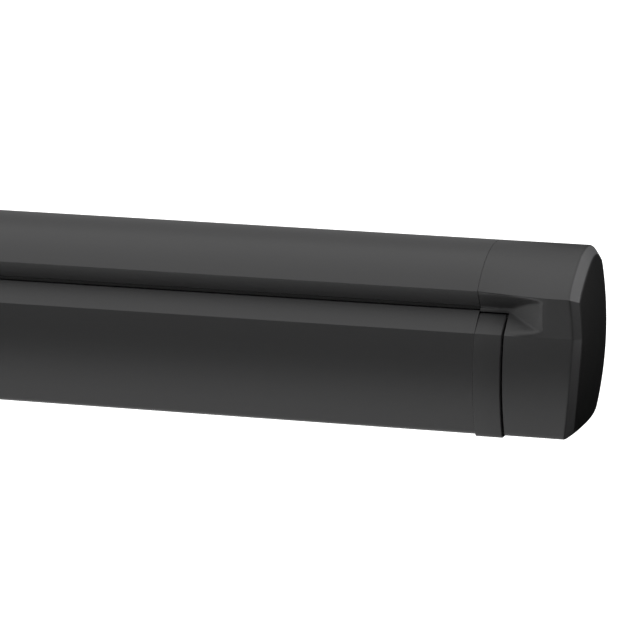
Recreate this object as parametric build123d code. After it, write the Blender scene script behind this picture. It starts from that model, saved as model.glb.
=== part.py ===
"""Roll out awning: a wall cassette with a folding lead bar, two folding arms and two legs.

Millimetres. X runs along the awning, -Y is the front, +Z is up. A cross-section is given
by its reach (distance from the wall) and its height (above the underside of the case).
The finished pieces are lowered so that the middle bracket's bolt pattern is at the origin.
"""

from build123d import *
import os
from math import acos, atan, atan2, cos, degrees, hypot, pi, radians, sin

# Whole awning
total_length = 2600.0
cover_width = 75.0
wall_gap = 10.0
fall_deg = 8.0  # the lead bar travels forward and down by this angle

# Clearances
running_gap = 0.08  # pin or shaft to its bore, radial
slide_gap = 0.3  # faces that turn or slide past each other
plug_gap = 0.15  # plug to the tube round it
bar_gap = 1.5  # lead bar caps to the end covers
overrun = 5.0  # how far a cut runs past the wall that it goes through

# Case shell
roof_gap = 7.9  # roll to the middle of the roof
roof_mid_inset = 24.0
roof_back_drop = 7.4  # the roof falls towards the wall and towards the nose
crown_setback = 31.3
crown_drop = 2.2
nose_past_lip = 7.0
nose_drop = 25.0
lip_drop = 36.4
lip_past_neck = 7.5
floor_gap = 3.0  # front edge of the floor to the lead bar
back_port_inset = 6.2
top_port_drop = 3.7
nose_port_inset = 9.3
nose_port_drop = 3.5
rib_top_drop = 9.0
shell_wall = 2.2
port_radius = 4.2
port_bore = 1.9
low_port_height = 6.0
rib_wall = 2.0
rib_drop = 10.0
rib_pocket = 3.6

# Wall brackets
bracket_inset = 400.0  # ends of the awning to the outer brackets' middles
bracket_count = 3
bracket_width = 100.0
bracket_plate = 4.0
bracket_lip_reach = 34.0
tongue_thick = 2.6
tongue_gap = 0.5
fixing_radius = 4.5
fixing_span = 70.0
fixing_rise = 50.0
fixing_middle = 55.0  # height of the middle of the fixing pattern
lock_screw_reach = 24.0
lock_screw_radius = 3.0
lock_head_radius = 5.5
lock_head_height = 3.5
lock_screw_inside = 4.0

# End plates
plate_thick = 4.0
plate_inset = 2.7
plate_screw_head = 3.3
plate_screw_head_height = 2.5
plate_screw_depth = 14.0

# End covers
valley_past_lip = 2.0
valley_under_lip = 1.0
hip_nose_inset = 6.6
hip_valley_rise = 1.0
flush_nose_inset = 1.5
flush_edge_inset = 2.8
flush_valley_inset = 2.2
cover_wall = 2.4
plate_front_gap = 0.5
passage_gap = 0.8  # lead bar cap to the wall behind it
cover_end_wall = 14.0
hip_start = 20.0
hip_end = 44.0
dome_radius = 245.0
dome_middle_height = 64.0
dome_middle_reach = 66.0
cover_bevel = 5.0
cover_lip_gap = 1.2  # cover nose to the lead bar cap under it
well_radius = 13.0
well_wall = 2.0
well_height = 36.0

# Roller
roll_back_gap = 3.3  # roll to the back wall of the case
roll_arm_gap = 7.5  # roll to the height of the arms under it
roll_bar_gap = 2.0  # roll to the neck of the lead bar
roller_radius = 22.0
roller_wall = 1.6
roll_radius = 28.5
roller_end_gap = 20.0
fabric_margin = 45.0
flange_thick = 3.0
roller_plug_length = 25.0
axle_radius = 6.0
axle_past_plate = 12.0
bearing_radius = 12.0
bearing_flange = 15.0
bearing_flange_thick = 2.0
bearing_length = 12.0

# Winch: a single-start worm and an eleven-tooth wheel
wheel_teeth = 11
wheel_module = 2.5
wheel_thick = 10.0
wheel_offset = 37.0  # wheel middle past the seam
wheel_tip_gap = 1.0
wheel_root_gap = 0.4
worm_pitch_radius = 7.0
worm_core_radius = 4.0
worm_tip_radius = 9.2
worm_thread_length = 26.0
thread_base_half = 1.3
thread_tip_half = 0.6
thread_sink = 0.5
slot_half = 2.7
housing_wall = 1.5
housing_back = 12.0
housing_top = 20.0
housing_low = 20.0
housing_rear = 18.0
wheel_clear = 1.2
ear_height = 9.0
ear_thick = 4.0
ear_half_width = 12.0
eye_ring_radius = 9.0
eye_bore_radius = 5.5
eye_thick = 6.0
eye_middle_height = 13.0
eye_neck_radius = 6.0
eye_neck_height = 9.0
eye_crown = 1.5  # ring left under the neck, over the bore

# Canopy
groove_inset = 4.5
groove_above_step = 4.5
canopy_thick = 0.6
hem_rod_radius = 2.4
hem_gap = 0.4
groove_wall = 2.0
groove_slot = 1.8

# Folding arms, in the fallen plane of the arms
arm_back_gap = 2.3  # inner arm to the back wall of the case
arm_floor_gap = 16.0  # arms to the underside of the case
arm_gap = 5.0  # between the two folded arms
shoulder_foot_down = 17.5
shoulder_foot_up = 19.0
shoulder_bolt_down = 10.0
shoulder_bolt_up = 11.0
wrist_plate_down = 20.0
wrist_plate_up = 13.0
shoulder_inset = 75.0
elbow_inset = 80.0
arm_width = 21.0
arm_height = 34.0
arm_corner = 5.0
arm_wall = 2.0
tube_setback = 20.0
elbow_setback = 28.0
collar_length = 4.0
arm_plug_length = 30.0
eye_radius = 10.5
eye_height = 20.0
neck_width = 15.0
cheek_radius = 11.0
cheek_top = 16.0
elbow_cheek_radius = 15.0
elbow_cheek_top = 17.0
elbow_eye_radius = 13.0
elbow_web = 7.0
tongue_low = 20.0
tongue_high = 4.0
arm_pin_radius = 5.0
arm_pin_head_radius = 7.5
arm_pin_head = 1.5
shoulder_block_near = 13.0
shoulder_block_far = 30.0
shoulder_block_depth = 20.0
shoulder_foot_length = 60.0
shoulder_foot_thick = 3.0
shoulder_bolt_radius = 3.0
shoulder_bolt_head = 5.0
shoulder_bolt_head_height = 4.0
shoulder_bolt_x = 46.0
shoulder_bolt_tail = 1.6
wrist_plate_thick = 2.8
wrist_plate_near = 11.0
wrist_plate_far = 25.0

# Lead bar
bar_arm_gap = 4.5  # outer arm to the back of the lead bar
bar_top_gap = 2.8  # top of the lead bar to the lip of the case
bar_top_width = 8.5
bar_bevel_drop = 13.0
bar_neck_drop = 12.2
bar_step_drop = 25.2
front_past_lip = 18.0
bar_edge_inset = 3.7
bar_foot_inset = 8.0
front_drop = 37.2  # top of the lead bar to its foremost point
leg_web_gap = 2.5  # leg to the web above it
high_port_inset = 5.0
high_port_drop = 4.7
rear_port_inset = 4.6
rear_port_rise = 4.0
bar_wall = 2.0
web_thick = 2.0
bar_port_radius = 3.2
bar_port_bore = 1.6

# Lead bar caps
spigot_rise = 10.0
spigot_drop = 4.2
bar_cap_width = 19.0
bar_cap_wall = 3.0
bar_cap_drop = 1.7
bar_cap_top_drop = 1.6
spigot_length = 25.0
spigot_gap = 0.4
bar_cap_screw_radius = 1.5
bar_cap_screw_head = 3.2
bar_cap_screw_head_height = 2.0
bar_cap_screw_depth = 14.0

# Nose seal
seal_thick = 2.0
seal_clear = 0.6

# Legs
leg_back_gap = 3.5  # leg to the back of the lead bar
leg_floor_gap = 4.5  # leg to the underside of the lead bar
leg_width = 19.0
leg_height = 24.0
leg_wall = 1.6
leg_corner = 3.0
leg_hinge_inset = 40.0
leg_middle_gap = 20.0
leg_top_setback = 15.0
leg_eye_radius = 11.0
leg_eye_width = 13.0
leg_plug_length = 30.0
leg_pin_radius = 3.0
leg_cheek_radius = 12.0
leg_cheek_thick = 2.2
leg_bracket_plate = 2.4
outer_leg_short = 55.0  # inner tube shown past the outer one when stowed
inner_leg_gap = 0.35
inner_leg_back = 20.0
leg_collar_length = 34.0
leg_collar_wall = 0.9
lever_length = 42.0
lever_width = 14.0
lever_thick = 2.6
lever_barrel = 1.9
lever_ear = 2.0
foot_setback = 13.0
foot_eye_radius = 6.6
foot_eye_width = 8.0
foot_pin_radius = 2.5
foot_length = 52.0
foot_heel = 9.0
foot_thick = 3.4
foot_drop = 12.0
foot_ear_thick = 4.0
clip_width = 22.0
clip_wall = 1.1
clip_plate = 1.8
clip_drop = 16.0
clip_near = 250.0
clip_far = 760.0

# Worked out from the sizes above
seam_x = total_length / 2 - cover_width
end_x = total_length / 2
shoulder_x = seam_x - shoulder_inset
arm_span = shoulder_x - elbow_inset
bracket_spacing = (total_length - 2 * bracket_inset) / (bracket_count - 1)

back_inside = wall_gap + shell_wall
arm_reach = back_inside + arm_back_gap + arm_width / 2
arm_rise = arm_floor_gap + arm_height / 2
fold_pitch = arm_width + arm_gap
roller_reach = back_inside + roll_back_gap + roll_radius
roller_height = arm_rise + arm_height / 2 + roll_arm_gap + roll_radius
roof_mid_height = roller_height + roll_radius + roof_gap
case_height = roof_mid_height - roof_back_drop

bar_neck_reach = roller_reach + roll_radius + roll_bar_gap
lip_reach = bar_neck_reach + lip_past_neck
lip_height = roof_mid_height - lip_drop
nose_reach = lip_reach + nose_past_lip
nose_height = roof_mid_height - nose_drop
roof_mid_reach = wall_gap + roof_mid_inset
crown_reach = nose_reach - crown_setback
crown_height = roof_mid_height - crown_drop
back_port_reach = wall_gap + back_port_inset
top_port_height = case_height - top_port_drop
nose_port_reach = nose_reach - nose_port_inset
nose_port_height = nose_height - nose_port_drop
rib_top = case_height - rib_top_drop

bar_back_reach = arm_reach + fold_pitch + arm_width / 2 + bar_arm_gap
floor_reach = bar_back_reach - floor_gap
bar_top = lip_height - bar_top_gap
bar_top_reach = bar_neck_reach + bar_top_width
bar_neck_height = bar_top - bar_neck_drop
bar_step_height = bar_top - bar_step_drop
bar_edge_height = bar_top - bar_bevel_drop
front_reach = lip_reach + front_past_lip
front_height = bar_top - front_drop
bar_edge_reach = front_reach - bar_edge_inset
bar_foot_reach = front_reach - bar_foot_inset
groove_reach = bar_back_reach + groove_inset
groove_height = bar_step_height + groove_above_step
leg_reach = bar_back_reach + leg_back_gap + leg_width / 2
leg_middle = leg_floor_gap + leg_height / 2
web_height = leg_middle + leg_height / 2 + leg_web_gap + web_thick / 2
high_port_reach = bar_neck_reach + high_port_inset
high_port_height = bar_top - high_port_drop
rear_port_reach = bar_back_reach + rear_port_inset
rear_port_height = web_height + rear_port_rise
spigot_low = web_height + spigot_rise
spigot_high = bar_edge_height - spigot_drop

valley_reach = lip_reach - valley_past_lip
valley_height = lip_height - valley_under_lip
hip_nose_reach = front_reach - hip_nose_inset
hip_valley_reach = valley_reach + hip_valley_rise
flush_nose_reach = front_reach - flush_nose_inset
flush_edge_reach = front_reach - flush_edge_inset
flush_valley_reach = front_reach - flush_valley_inset

shoulder_foot_low = arm_rise - shoulder_foot_down
shoulder_foot_high = arm_rise + shoulder_foot_up
shoulder_bolt_low = arm_rise - shoulder_bolt_down
shoulder_bolt_high = arm_rise + shoulder_bolt_up
wrist_plate_low = arm_rise - wrist_plate_down
wrist_plate_high = arm_rise + wrist_plate_up


def at(reach, height):
    """A point of a cross-section."""
    return (-reach, height)


def along(face, x_from, x_to):
    """A cross-section pulled along the awning."""
    return Pos(X=x_from) * extrude(Plane.YZ * face, amount=x_to - x_from, dir=(1, 0, 0))


def slab(reach_low, reach_high, low, high):
    """A rectangle of a cross-section."""
    middle = at((reach_low + reach_high) / 2, (low + high) / 2)
    return Pos(*middle) * Rectangle(reach_high - reach_low, high - low)


def block(x_low, x_high, reach_low, reach_high, low, high):
    """A box between two places along the awning, two reaches and two heights."""
    return along(slab(reach_low, reach_high, low, high), x_low, x_high)


def rod_x(radius, x_low, x_high, reach, height):
    """A round rod along the awning."""
    return Pos((x_low + x_high) / 2, -reach, height) * Rot(Y=90) * Cylinder(radius, x_high - x_low)


def rod_y(radius, reach_low, reach_high, x, height):
    """A round rod square to the wall."""
    middle = (reach_low + reach_high) / 2
    return Pos(x, -middle, height) * Rot(X=90) * Cylinder(radius, reach_high - reach_low)


def rod_z(radius, low, high, x, reach):
    """An upright round rod."""
    return Pos(x, -reach, (low + high) / 2) * Cylinder(radius, high - low)


def other_side(shape):
    """The same piece at the left end."""
    return mirror(shape, about=Plane.YZ)


def both_sides(shape):
    """One piece at each end, as separate solids."""
    return Compound(shape.solids() + other_side(shape).solids())


def together(shapes):
    """Separate solids in one node."""
    return Compound([solid for shape in shapes for solid in shape.solids()])


# Case shell

def roof_lines(front_reach_here, front_height_here):
    """The roof from the back edge to a front point: two arcs that meet smoothly."""
    back = at(wall_gap, case_height)
    crown = at(crown_reach, crown_height)
    roof = ThreePointArc(back, at(roof_mid_reach, roof_mid_height), crown)
    brow = TangentArc(crown, at(front_reach_here, front_height_here), tangent=roof % 1)
    return [roof, brow]


def case_outline():
    """The outside of the case with its front closed."""
    corners = [
        at(nose_reach, nose_height),
        at(lip_reach, lip_height),
        at(lip_reach, 0),
        at(wall_gap, 0),
        at(wall_gap, case_height),
    ]
    return make_face(roof_lines(nose_reach, nose_height) + [Polyline(*corners)])


def open_front():
    """The part of the cross-section where the case is open to the front."""
    far = bar_foot_reach + front_reach
    return slab(floor_reach, far, -case_height, lip_height)


def port_places():
    """Where the screw ports of the case are."""
    return [
        at(back_port_reach, top_port_height),
        at(back_port_reach, low_port_height),
        at(nose_port_reach, nose_port_height),
    ]


def bracket_places():
    """Where the wall brackets are along the awning."""
    first = -bracket_spacing * (bracket_count - 1) / 2
    return [first + bracket_spacing * i for i in range(bracket_count)]


def shoulder_bolt_places():
    """Where the shoulder bolts go through the back of the case."""
    x = shoulder_x + shoulder_bolt_x
    return [(side * x, z) for side in (1, -1) for z in (shoulder_bolt_low, shoulder_bolt_high)]


def make_case_shell():
    outline = case_outline()
    profile = outline - offset(outline, amount=-shell_wall) - open_front()
    for place in port_places():
        profile += Pos(*place) * Circle(port_radius)
    profile -= [Pos(*place) * Circle(port_bore) for place in port_places()]
    pocket_reach = wall_gap - rib_pocket
    profile += slab(pocket_reach - rib_wall, wall_gap, rib_top - rib_wall, rib_top)
    profile += slab(pocket_reach - rib_wall, pocket_reach, rib_top - rib_drop, rib_top)
    shell = along(profile, -seam_x, seam_x)
    for x, z in shoulder_bolt_places():
        shell -= rod_y(shoulder_bolt_radius, 0, wall_gap + overrun, x, z)
    for x in bracket_places():
        shell -= rod_z(lock_screw_radius, -overrun, overrun, x, lock_screw_reach)
    return shell


def make_wall_bracket(x):
    tongue_back = wall_gap - rib_pocket + tongue_gap
    tongue_front = tongue_back + tongue_thick
    shelf_top = rib_top - rib_drop - tongue_gap - rib_wall
    tongue_top = rib_top - rib_wall
    profile = slab(0, bracket_plate, -bracket_plate, shelf_top)
    profile += slab(0, bracket_lip_reach, -bracket_plate, 0)
    profile += slab(0, tongue_front, shelf_top - bracket_plate, shelf_top)
    profile += slab(tongue_back, tongue_front, shelf_top - bracket_plate, tongue_top)
    bracket = along(profile, x - bracket_width / 2, x + bracket_width / 2)
    for i in (-1, 1):
        for k in (-1, 1):
            hole_x = x + i * fixing_span / 2
            hole_z = fixing_middle + k * fixing_rise / 2
            bracket -= rod_y(fixing_radius, -overrun, wall_gap, hole_x, hole_z)
    return bracket - rod_z(lock_screw_radius, -2 * overrun, overrun, x, lock_screw_reach)


def make_lock_screws():
    screws = []
    for x in bracket_places():
        shank = rod_z(lock_screw_radius, -bracket_plate, lock_screw_inside, x, lock_screw_reach)
        head_low = -bracket_plate - lock_head_height
        head = rod_z(lock_head_radius, head_low, -bracket_plate, x, lock_screw_reach)
        screws.append(shank + head)
    return together(screws)


def make_nose_seal():
    """A rubber strip under the nose lip that closes the gap to the lead bar."""
    strip = slab(lip_reach - seal_thick, lip_reach, bar_top + seal_clear, lip_height)
    return along(strip, -seam_x, seam_x)


# End plates and end covers

def passage_reach():
    """Rear of the passage that the lead bar's cap moves out of."""
    return bar_back_reach - passage_gap


def bar_path_cut(reach, top):
    """The part of the cross-section in front of a reach and under a height."""
    return slab(reach, reach + front_reach, -case_height, top)


def make_end_plate(bore_radius):
    front = passage_reach() - cover_wall - plate_front_gap
    face = offset(case_outline(), amount=-plate_inset)
    face -= bar_path_cut(front, passage_top() + cover_wall + plate_front_gap)
    face -= Pos(*at(roller_reach, roller_height)) * Circle(bore_radius)
    face -= [Pos(*place) * Circle(port_bore) for place in port_places()]
    return along(face, seam_x, seam_x + plate_thick)


def make_left_plate():
    """The left plate also holds the winch housing."""
    plate = other_side(make_end_plate(axle_radius + slide_gap))
    for z in winch_ear_places():
        plate -= rod_x(port_bore, -seam_x - 2 * plate_thick, -seam_x, roller_reach, z)
    return plate


def make_plate_screws():
    """The screws of one end plate, which turn into the ports of the case."""
    screws = []
    for place in port_places():
        reach, height = -place[0], place[1]
        plate_face = seam_x + plate_thick
        shank = rod_x(port_bore, seam_x - plate_screw_depth, plate_face, reach, height)
        head_end = plate_face + plate_screw_head_height
        head = rod_x(plate_screw_head, plate_face, head_end, reach, height)
        screws.append(shank + head)
    return together(screws)


def cover_section(x, nose, valley, edge):
    """The outside of an end cover at one place, with its front crease, valley and edge."""
    corners = [at(nose, nose_height), at(valley, valley_height), at(edge, bar_edge_height)]
    foot = at(bar_foot_reach, 0)
    front = ThreePointArc(corners[2], at(front_reach, front_height), foot)
    under = Polyline(foot, at(wall_gap, 0), at(wall_gap, case_height))
    lines = roof_lines(nose, nose_height) + [Polyline(*corners), front, under]
    return Pos(X=x) * (Plane.YZ * make_face(lines))


def cover_body():
    """The solid outside form: the V-groove runs out into the full front."""
    seam = cover_section(seam_x, nose_reach, valley_reach, bar_edge_reach)
    hip = cover_section(seam_x + hip_start, hip_nose_reach, hip_valley_reach, bar_edge_reach)
    flush = cover_section(seam_x + hip_end, flush_nose_reach, flush_valley_reach, flush_edge_reach)
    body = loft([seam, hip], ruled=True) + loft([hip, flush], ruled=True)
    return body + extrude(flush, amount=cover_width - hip_end, dir=(1, 0, 0))


def domed(body):
    """The body with its outer face cut to a shallow dome, bevelled but for the wall's side."""
    ball_x = end_x - dome_radius
    ball = Pos(ball_x, -dome_middle_reach, dome_middle_height) * Sphere(dome_radius)
    body = body & ball
    rim = [
        edge
        for edge in body.edges()
        if edge.center().X > end_x - 2 * cover_end_wall
        and edge.center().Y < -wall_gap - overrun
        and edge.bounding_box().size.X < cover_end_wall
    ]
    return chamfer(rim, length=cover_bevel)


def make_end_cover():
    body = domed(cover_body())
    inner_end = end_x - cover_end_wall
    room = offset(case_outline(), amount=-cover_wall)
    partition = passage_reach() - cover_wall
    near_room = room - bar_path_cut(partition, passage_top() + cover_wall)
    step_x = seam_x + bar_cap_width + bar_gap
    body -= along(near_room, seam_x - overrun, step_x + cover_wall)
    body -= along(room, step_x + cover_wall, inner_end)
    front_room = offset(bar_outline(0, bar_top), amount=-cover_wall)
    body -= along(front_room, step_x + cover_wall, inner_end)
    passage = bar_path_cut(passage_reach(), passage_top())
    return body - along(passage, seam_x - overrun, step_x)


def passage_top():
    """Underside of the cover's nose over the lead bar cap."""
    return bar_top - bar_cap_top_drop + cover_lip_gap


def make_left_cover():
    """The left cover has a well in its underside for the crank eye."""
    cover = other_side(make_end_cover())
    x, reach = -worm_x(), worm_reach()
    cover += rod_z(well_radius + well_wall, 0, well_height + well_wall, x, reach)
    cover -= rod_z(well_radius, -overrun, well_height, x, reach)
    return cover - rod_z(worm_core_radius + slide_gap, 0, 2 * well_height, x, reach)


# Roller

def make_roller_tube():
    end = seam_x - roller_end_gap
    tube = rod_x(roller_radius, -end, end, roller_reach, roller_height)
    return tube - rod_x(roller_radius - roller_wall, -end, end, roller_reach, roller_height)


def make_fabric_roll():
    end = seam_x - fabric_margin
    roll = rod_x(roll_radius, -end, end, roller_reach, roller_height)
    return roll - rod_x(roller_radius, -end, end, roller_reach, roller_height)


def make_roller_plug(axle_end):
    """A plug with its axle, at the right end."""
    end = seam_x - roller_end_gap
    face = end + flange_thick
    plug = rod_x(roller_radius, end, face, roller_reach, roller_height)
    bore = roller_radius - roller_wall
    plug += rod_x(bore, end - roller_plug_length, end, roller_reach, roller_height)
    return plug + rod_x(axle_radius, face, axle_end, roller_reach, roller_height)


def make_roller_bearing():
    low = seam_x + plate_thick - bearing_length
    face = seam_x + plate_thick
    high = face + bearing_flange_thick
    bush = rod_x(bearing_radius, low, face, roller_reach, roller_height)
    bush += rod_x(bearing_flange, face, high, roller_reach, roller_height)
    return bush - rod_x(axle_radius + running_gap, low, high, roller_reach, roller_height)


# Winch, built at the right and mirrored where it has no hand

def worm_x():
    return seam_x + wheel_offset


def wheel_pitch_radius():
    return wheel_teeth * wheel_module / 2


def wheel_tip_radius():
    return wheel_pitch_radius() + worm_pitch_radius - worm_core_radius - wheel_tip_gap


def worm_reach():
    return roller_reach + wheel_pitch_radius() + worm_pitch_radius


def worm_pitch():
    return pi * wheel_module


def make_winch_wheel():
    """Eleven slots, each leaned to the worm's lead, with a bore for the roller's shaft."""
    tip = wheel_tip_radius()
    root = wheel_pitch_radius() + worm_pitch_radius - worm_tip_radius - wheel_root_gap
    lean = degrees(atan(worm_pitch() / (2 * pi * worm_pitch_radius)))
    wheel = Rot(Y=90) * Cylinder(tip, wheel_thick)
    slot = Box(2 * wheel_thick, 2 * (tip - root), 2 * slot_half)
    for i in range(wheel_teeth):
        turn = 360 * i / wheel_teeth
        wheel -= Rot(X=turn) * Pos(Y=-tip) * Rot(Y=lean) * slot
    wheel -= Rot(Y=90) * Cylinder(axle_radius, wheel_thick)
    return Pos(-worm_x(), -roller_reach, roller_height) * wheel


def make_winch_worm():
    """A shaft with one right-handed thread, in mesh with the wheel's nearest slot."""
    turns_below = round(worm_thread_length / 2 / worm_pitch()) + 1 / 4
    path = Helix(worm_pitch(), 2 * turns_below * worm_pitch(), worm_core_radius)
    start = Plane(origin=path @ 0, x_dir=(1, 0, 0), z_dir=path % 0)
    reach_out = worm_tip_radius - worm_core_radius
    corners = [
        (-thread_sink, -thread_base_half),
        (reach_out, -thread_tip_half),
        (reach_out, thread_tip_half),
        (-thread_sink, thread_base_half),
    ]
    thread = sweep(start * make_face(Polyline(*corners, close=True)), path=path, is_frenet=True)
    thread = Pos(Z=-turns_below * worm_pitch()) * thread
    thread = thread & Cylinder(2 * worm_tip_radius, worm_thread_length)
    worm = Pos(-worm_x(), -worm_reach(), roller_height) * thread
    top = roller_height + housing_top
    low = eye_middle_height + eye_ring_radius
    return worm + rod_z(worm_core_radius, low, top, -worm_x(), worm_reach())


def make_crank_eye():
    x, reach = -worm_x(), worm_reach()
    ring = rod_y(eye_ring_radius, reach - eye_thick / 2, reach + eye_thick / 2, x, eye_middle_height)
    neck_low = eye_middle_height + eye_bore_radius + eye_crown
    neck_high = eye_middle_height + eye_ring_radius + eye_neck_height
    neck = rod_z(eye_neck_radius, neck_low, neck_high, x, reach)
    eye = ring + neck
    eye -= rod_y(eye_bore_radius, reach - 2 * eye_thick, reach + 2 * eye_thick, x, eye_middle_height)
    return eye - rod_z(worm_core_radius, eye_middle_height + eye_ring_radius, neck_high, x, reach)


def winch_ear_places():
    """Heights of the two screws that hold the winch housing."""
    low = roller_height - housing_low - ear_height / 2
    high = roller_height + housing_top + ear_height / 2
    return [low, high]


def make_winch_housing():
    face = seam_x + plate_thick
    back = worm_x() + housing_back
    rear = roller_reach - housing_rear
    front = worm_reach() + worm_tip_radius + housing_wall
    low = roller_height - housing_low
    top = roller_height + housing_top
    wheel_room = wheel_tip_radius() + wheel_clear
    neck_front = roller_reach + wheel_room + housing_wall
    body = block(-back, -face, rear, neck_front, low, top)
    body += block(-back, -worm_x() + housing_back, rear, front, low, top)
    for z in winch_ear_places():
        near, far = roller_reach - ear_half_width, roller_reach + ear_half_width
        ear = block(-face - ear_thick, -face, near, far, z - ear_height / 2, z + ear_height / 2)
        body += ear - rod_x(port_bore, -face - 2 * ear_thick, -face, roller_reach, z)
    wheel_back = worm_x() + wheel_thick / 2 + wheel_clear
    body -= rod_x(wheel_room, -wheel_back, -face, roller_reach, roller_height)
    thread_half = worm_thread_length / 2 + wheel_clear
    worm_room = worm_tip_radius + wheel_clear / 2
    high = roller_height + thread_half
    body -= rod_z(worm_room, roller_height - thread_half, high, -worm_x(), worm_reach())
    shaft_bore = worm_core_radius + running_gap
    body -= rod_z(shaft_bore, low - overrun, top + overrun, -worm_x(), worm_reach())
    axle_bore = axle_radius + running_gap
    return body - rod_x(axle_bore, -back - overrun, -face, roller_reach, roller_height)


def make_winch_screws():
    face = seam_x + plate_thick
    screws = []
    for z in winch_ear_places():
        ear_face = -face - ear_thick
        shank = rod_x(port_bore, ear_face, -seam_x, roller_reach, z)
        head_low = ear_face - plate_screw_head_height
        head = rod_x(plate_screw_head, head_low, ear_face, roller_reach, z)
        screws.append(shank + head)
    return together(screws)


# Canopy

def make_hem_rod():
    end = seam_x - fabric_margin
    return rod_x(hem_rod_radius, -end, end, groove_reach, groove_height)


def canopy_direction():
    """From the lead bar's groove to where the canopy meets the roll, and that distance."""
    across = roller_reach - groove_reach
    up = roller_height - groove_height
    away = hypot(across, up)
    clear = roll_radius + canopy_thick / 2 + slide_gap
    length = (away**2 - clear**2) ** 0.5
    turn = acos(length / away)
    heading = atan2(up, -across) - turn
    return heading, length


def make_fabric_panel():
    """The short run of canopy between the roll and the lead bar when the awning is shut."""
    heading, length = canopy_direction()
    near = hem_rod_radius + slide_gap
    strip = Pos(X=(near + length) / 2) * Rectangle(length - near, canopy_thick)
    strip = Pos(*at(groove_reach, groove_height)) * Rot(Z=degrees(heading)) * strip
    end = seam_x - fabric_margin
    return along(strip, -end, end)


# Folding arms at the right, in their own plane: x along the awning, y to the wall

def arm_place():
    """The plane of the arms, with its origin at the right shoulder pivot."""
    fall = radians(fall_deg)
    middle = (shoulder_x, -arm_reach, arm_rise)
    return Plane(origin=middle, x_dir=(1, 0, 0), z_dir=(0, -sin(fall), cos(fall))).location


def arm_section(gap):
    """The section of an arm tube, drawn in by a gap."""
    corner = arm_corner - gap
    return RectangleRounded(arm_width - 2 * gap, arm_height - 2 * gap, corner)


def arm_length(face, x_low, x_high, row):
    """A section pulled along one arm: row 0 is the inner arm and row 1 the outer."""
    return Pos(Y=-row * fold_pitch) * along(face, x_low, x_high)


def make_arm_tube(row):
    face = arm_section(0) - arm_section(arm_wall)
    tube = arm_length(face, -arm_span + elbow_setback, -tube_setback, row)
    return arm_place() * tube


def make_arm_eye(row):
    """The casting at a tube's end near the case's end: a plug, a collar and an eye."""
    plug = arm_section(arm_wall + plug_gap)
    casting = arm_length(plug, -tube_setback - arm_plug_length, -tube_setback, row)
    collar_end = -tube_setback + collar_length
    casting += arm_length(arm_section(0), -tube_setback, collar_end, row)
    neck = Rectangle(neck_width, eye_height)
    casting += arm_length(neck, -tube_setback, 0, row)
    pivot = Pos(Y=-row * fold_pitch)
    casting += pivot * Cylinder(eye_radius, eye_height)
    casting -= pivot * Cylinder(arm_pin_radius + running_gap, 2 * eye_height)
    return arm_place() * casting


def cheek(pivot, radius, foot, low, high):
    """A plate from round a pivot to a rectangle given by its x and y limits."""
    x_low, x_high, y_low, y_high = foot
    disc = Pos(*pivot) * Circle(radius)
    middle = ((x_low + x_high) / 2, (y_low + y_high) / 2)
    base = Pos(*middle) * Rectangle(x_high - x_low, y_high - y_low)
    outline = make_hull(disc.edges() + base.edges())
    return Pos(Z=low) * extrude(outline, amount=high - low, dir=(0, 0, 1))


def cheek_pair(pivot, radius, foot, top):
    """Two cheeks, one each side of an eye."""
    low = eye_height / 2 + slide_gap
    upper = cheek(pivot, radius, foot, low, top)
    lower = cheek(pivot, radius, foot, -top, -low)
    return upper + lower


def make_elbow_fork():
    elbow = (-arm_span, -fold_pitch / 2)
    near = -arm_span + elbow_setback
    foot = (near - collar_length, near, -arm_width / 2, arm_width / 2)
    fork = cheek_pair(elbow, elbow_cheek_radius, foot, elbow_cheek_top)
    fork += arm_length(arm_section(0), near - collar_length, near, 0)
    web = Rectangle(arm_width - collar_length, arm_height - 2 * collar_length)
    fork += arm_length(web, near - elbow_web, near, 0)
    plug = arm_section(arm_wall + plug_gap)
    fork += arm_length(plug, near, near + arm_plug_length, 0)
    fork -= Pos(*elbow) * Cylinder(arm_pin_radius, 2 * arm_height)
    return arm_place() * fork


def make_elbow_pin():
    elbow = Pos(-arm_span, -fold_pitch / 2)
    pin = elbow * Cylinder(arm_pin_radius, 2 * elbow_cheek_top)
    for side in (1, -1):
        head_middle = side * (elbow_cheek_top + arm_pin_head / 2)
        pin += elbow * Pos(Z=head_middle) * Cylinder(arm_pin_head_radius, arm_pin_head)
    return arm_place() * pin


def make_elbow_tongue():
    near = -arm_span + elbow_setback
    tongue = Pos(-arm_span, -fold_pitch / 2) * Cylinder(elbow_eye_radius, eye_height)
    low = -fold_pitch / 2 - tongue_low
    high = -fold_pitch / 2 - tongue_high
    middle = (-arm_span + elbow_setback / 2, (low + high) / 2)
    tongue += Pos(*middle) * Box(elbow_setback, high - low, eye_height)
    tongue += arm_length(arm_section(0), near - collar_length, near, 1)
    plug = arm_section(arm_wall + plug_gap)
    tongue += arm_length(plug, near, near + arm_plug_length, 1)
    bore = arm_pin_radius + running_gap
    tongue -= Pos(-arm_span, -fold_pitch / 2) * Cylinder(bore, 2 * eye_height)
    return arm_place() * tongue


def make_pivot_pin(row):
    """The pin of a shoulder or a wrist."""
    pivot = Pos(Y=-row * fold_pitch)
    pin = pivot * Cylinder(arm_pin_radius, 2 * cheek_top)
    for side in (1, -1):
        head_middle = side * (cheek_top + arm_pin_head / 2)
        pin += pivot * Pos(Z=head_middle) * Cylinder(arm_pin_head_radius, arm_pin_head)
    return arm_place() * pin


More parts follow.
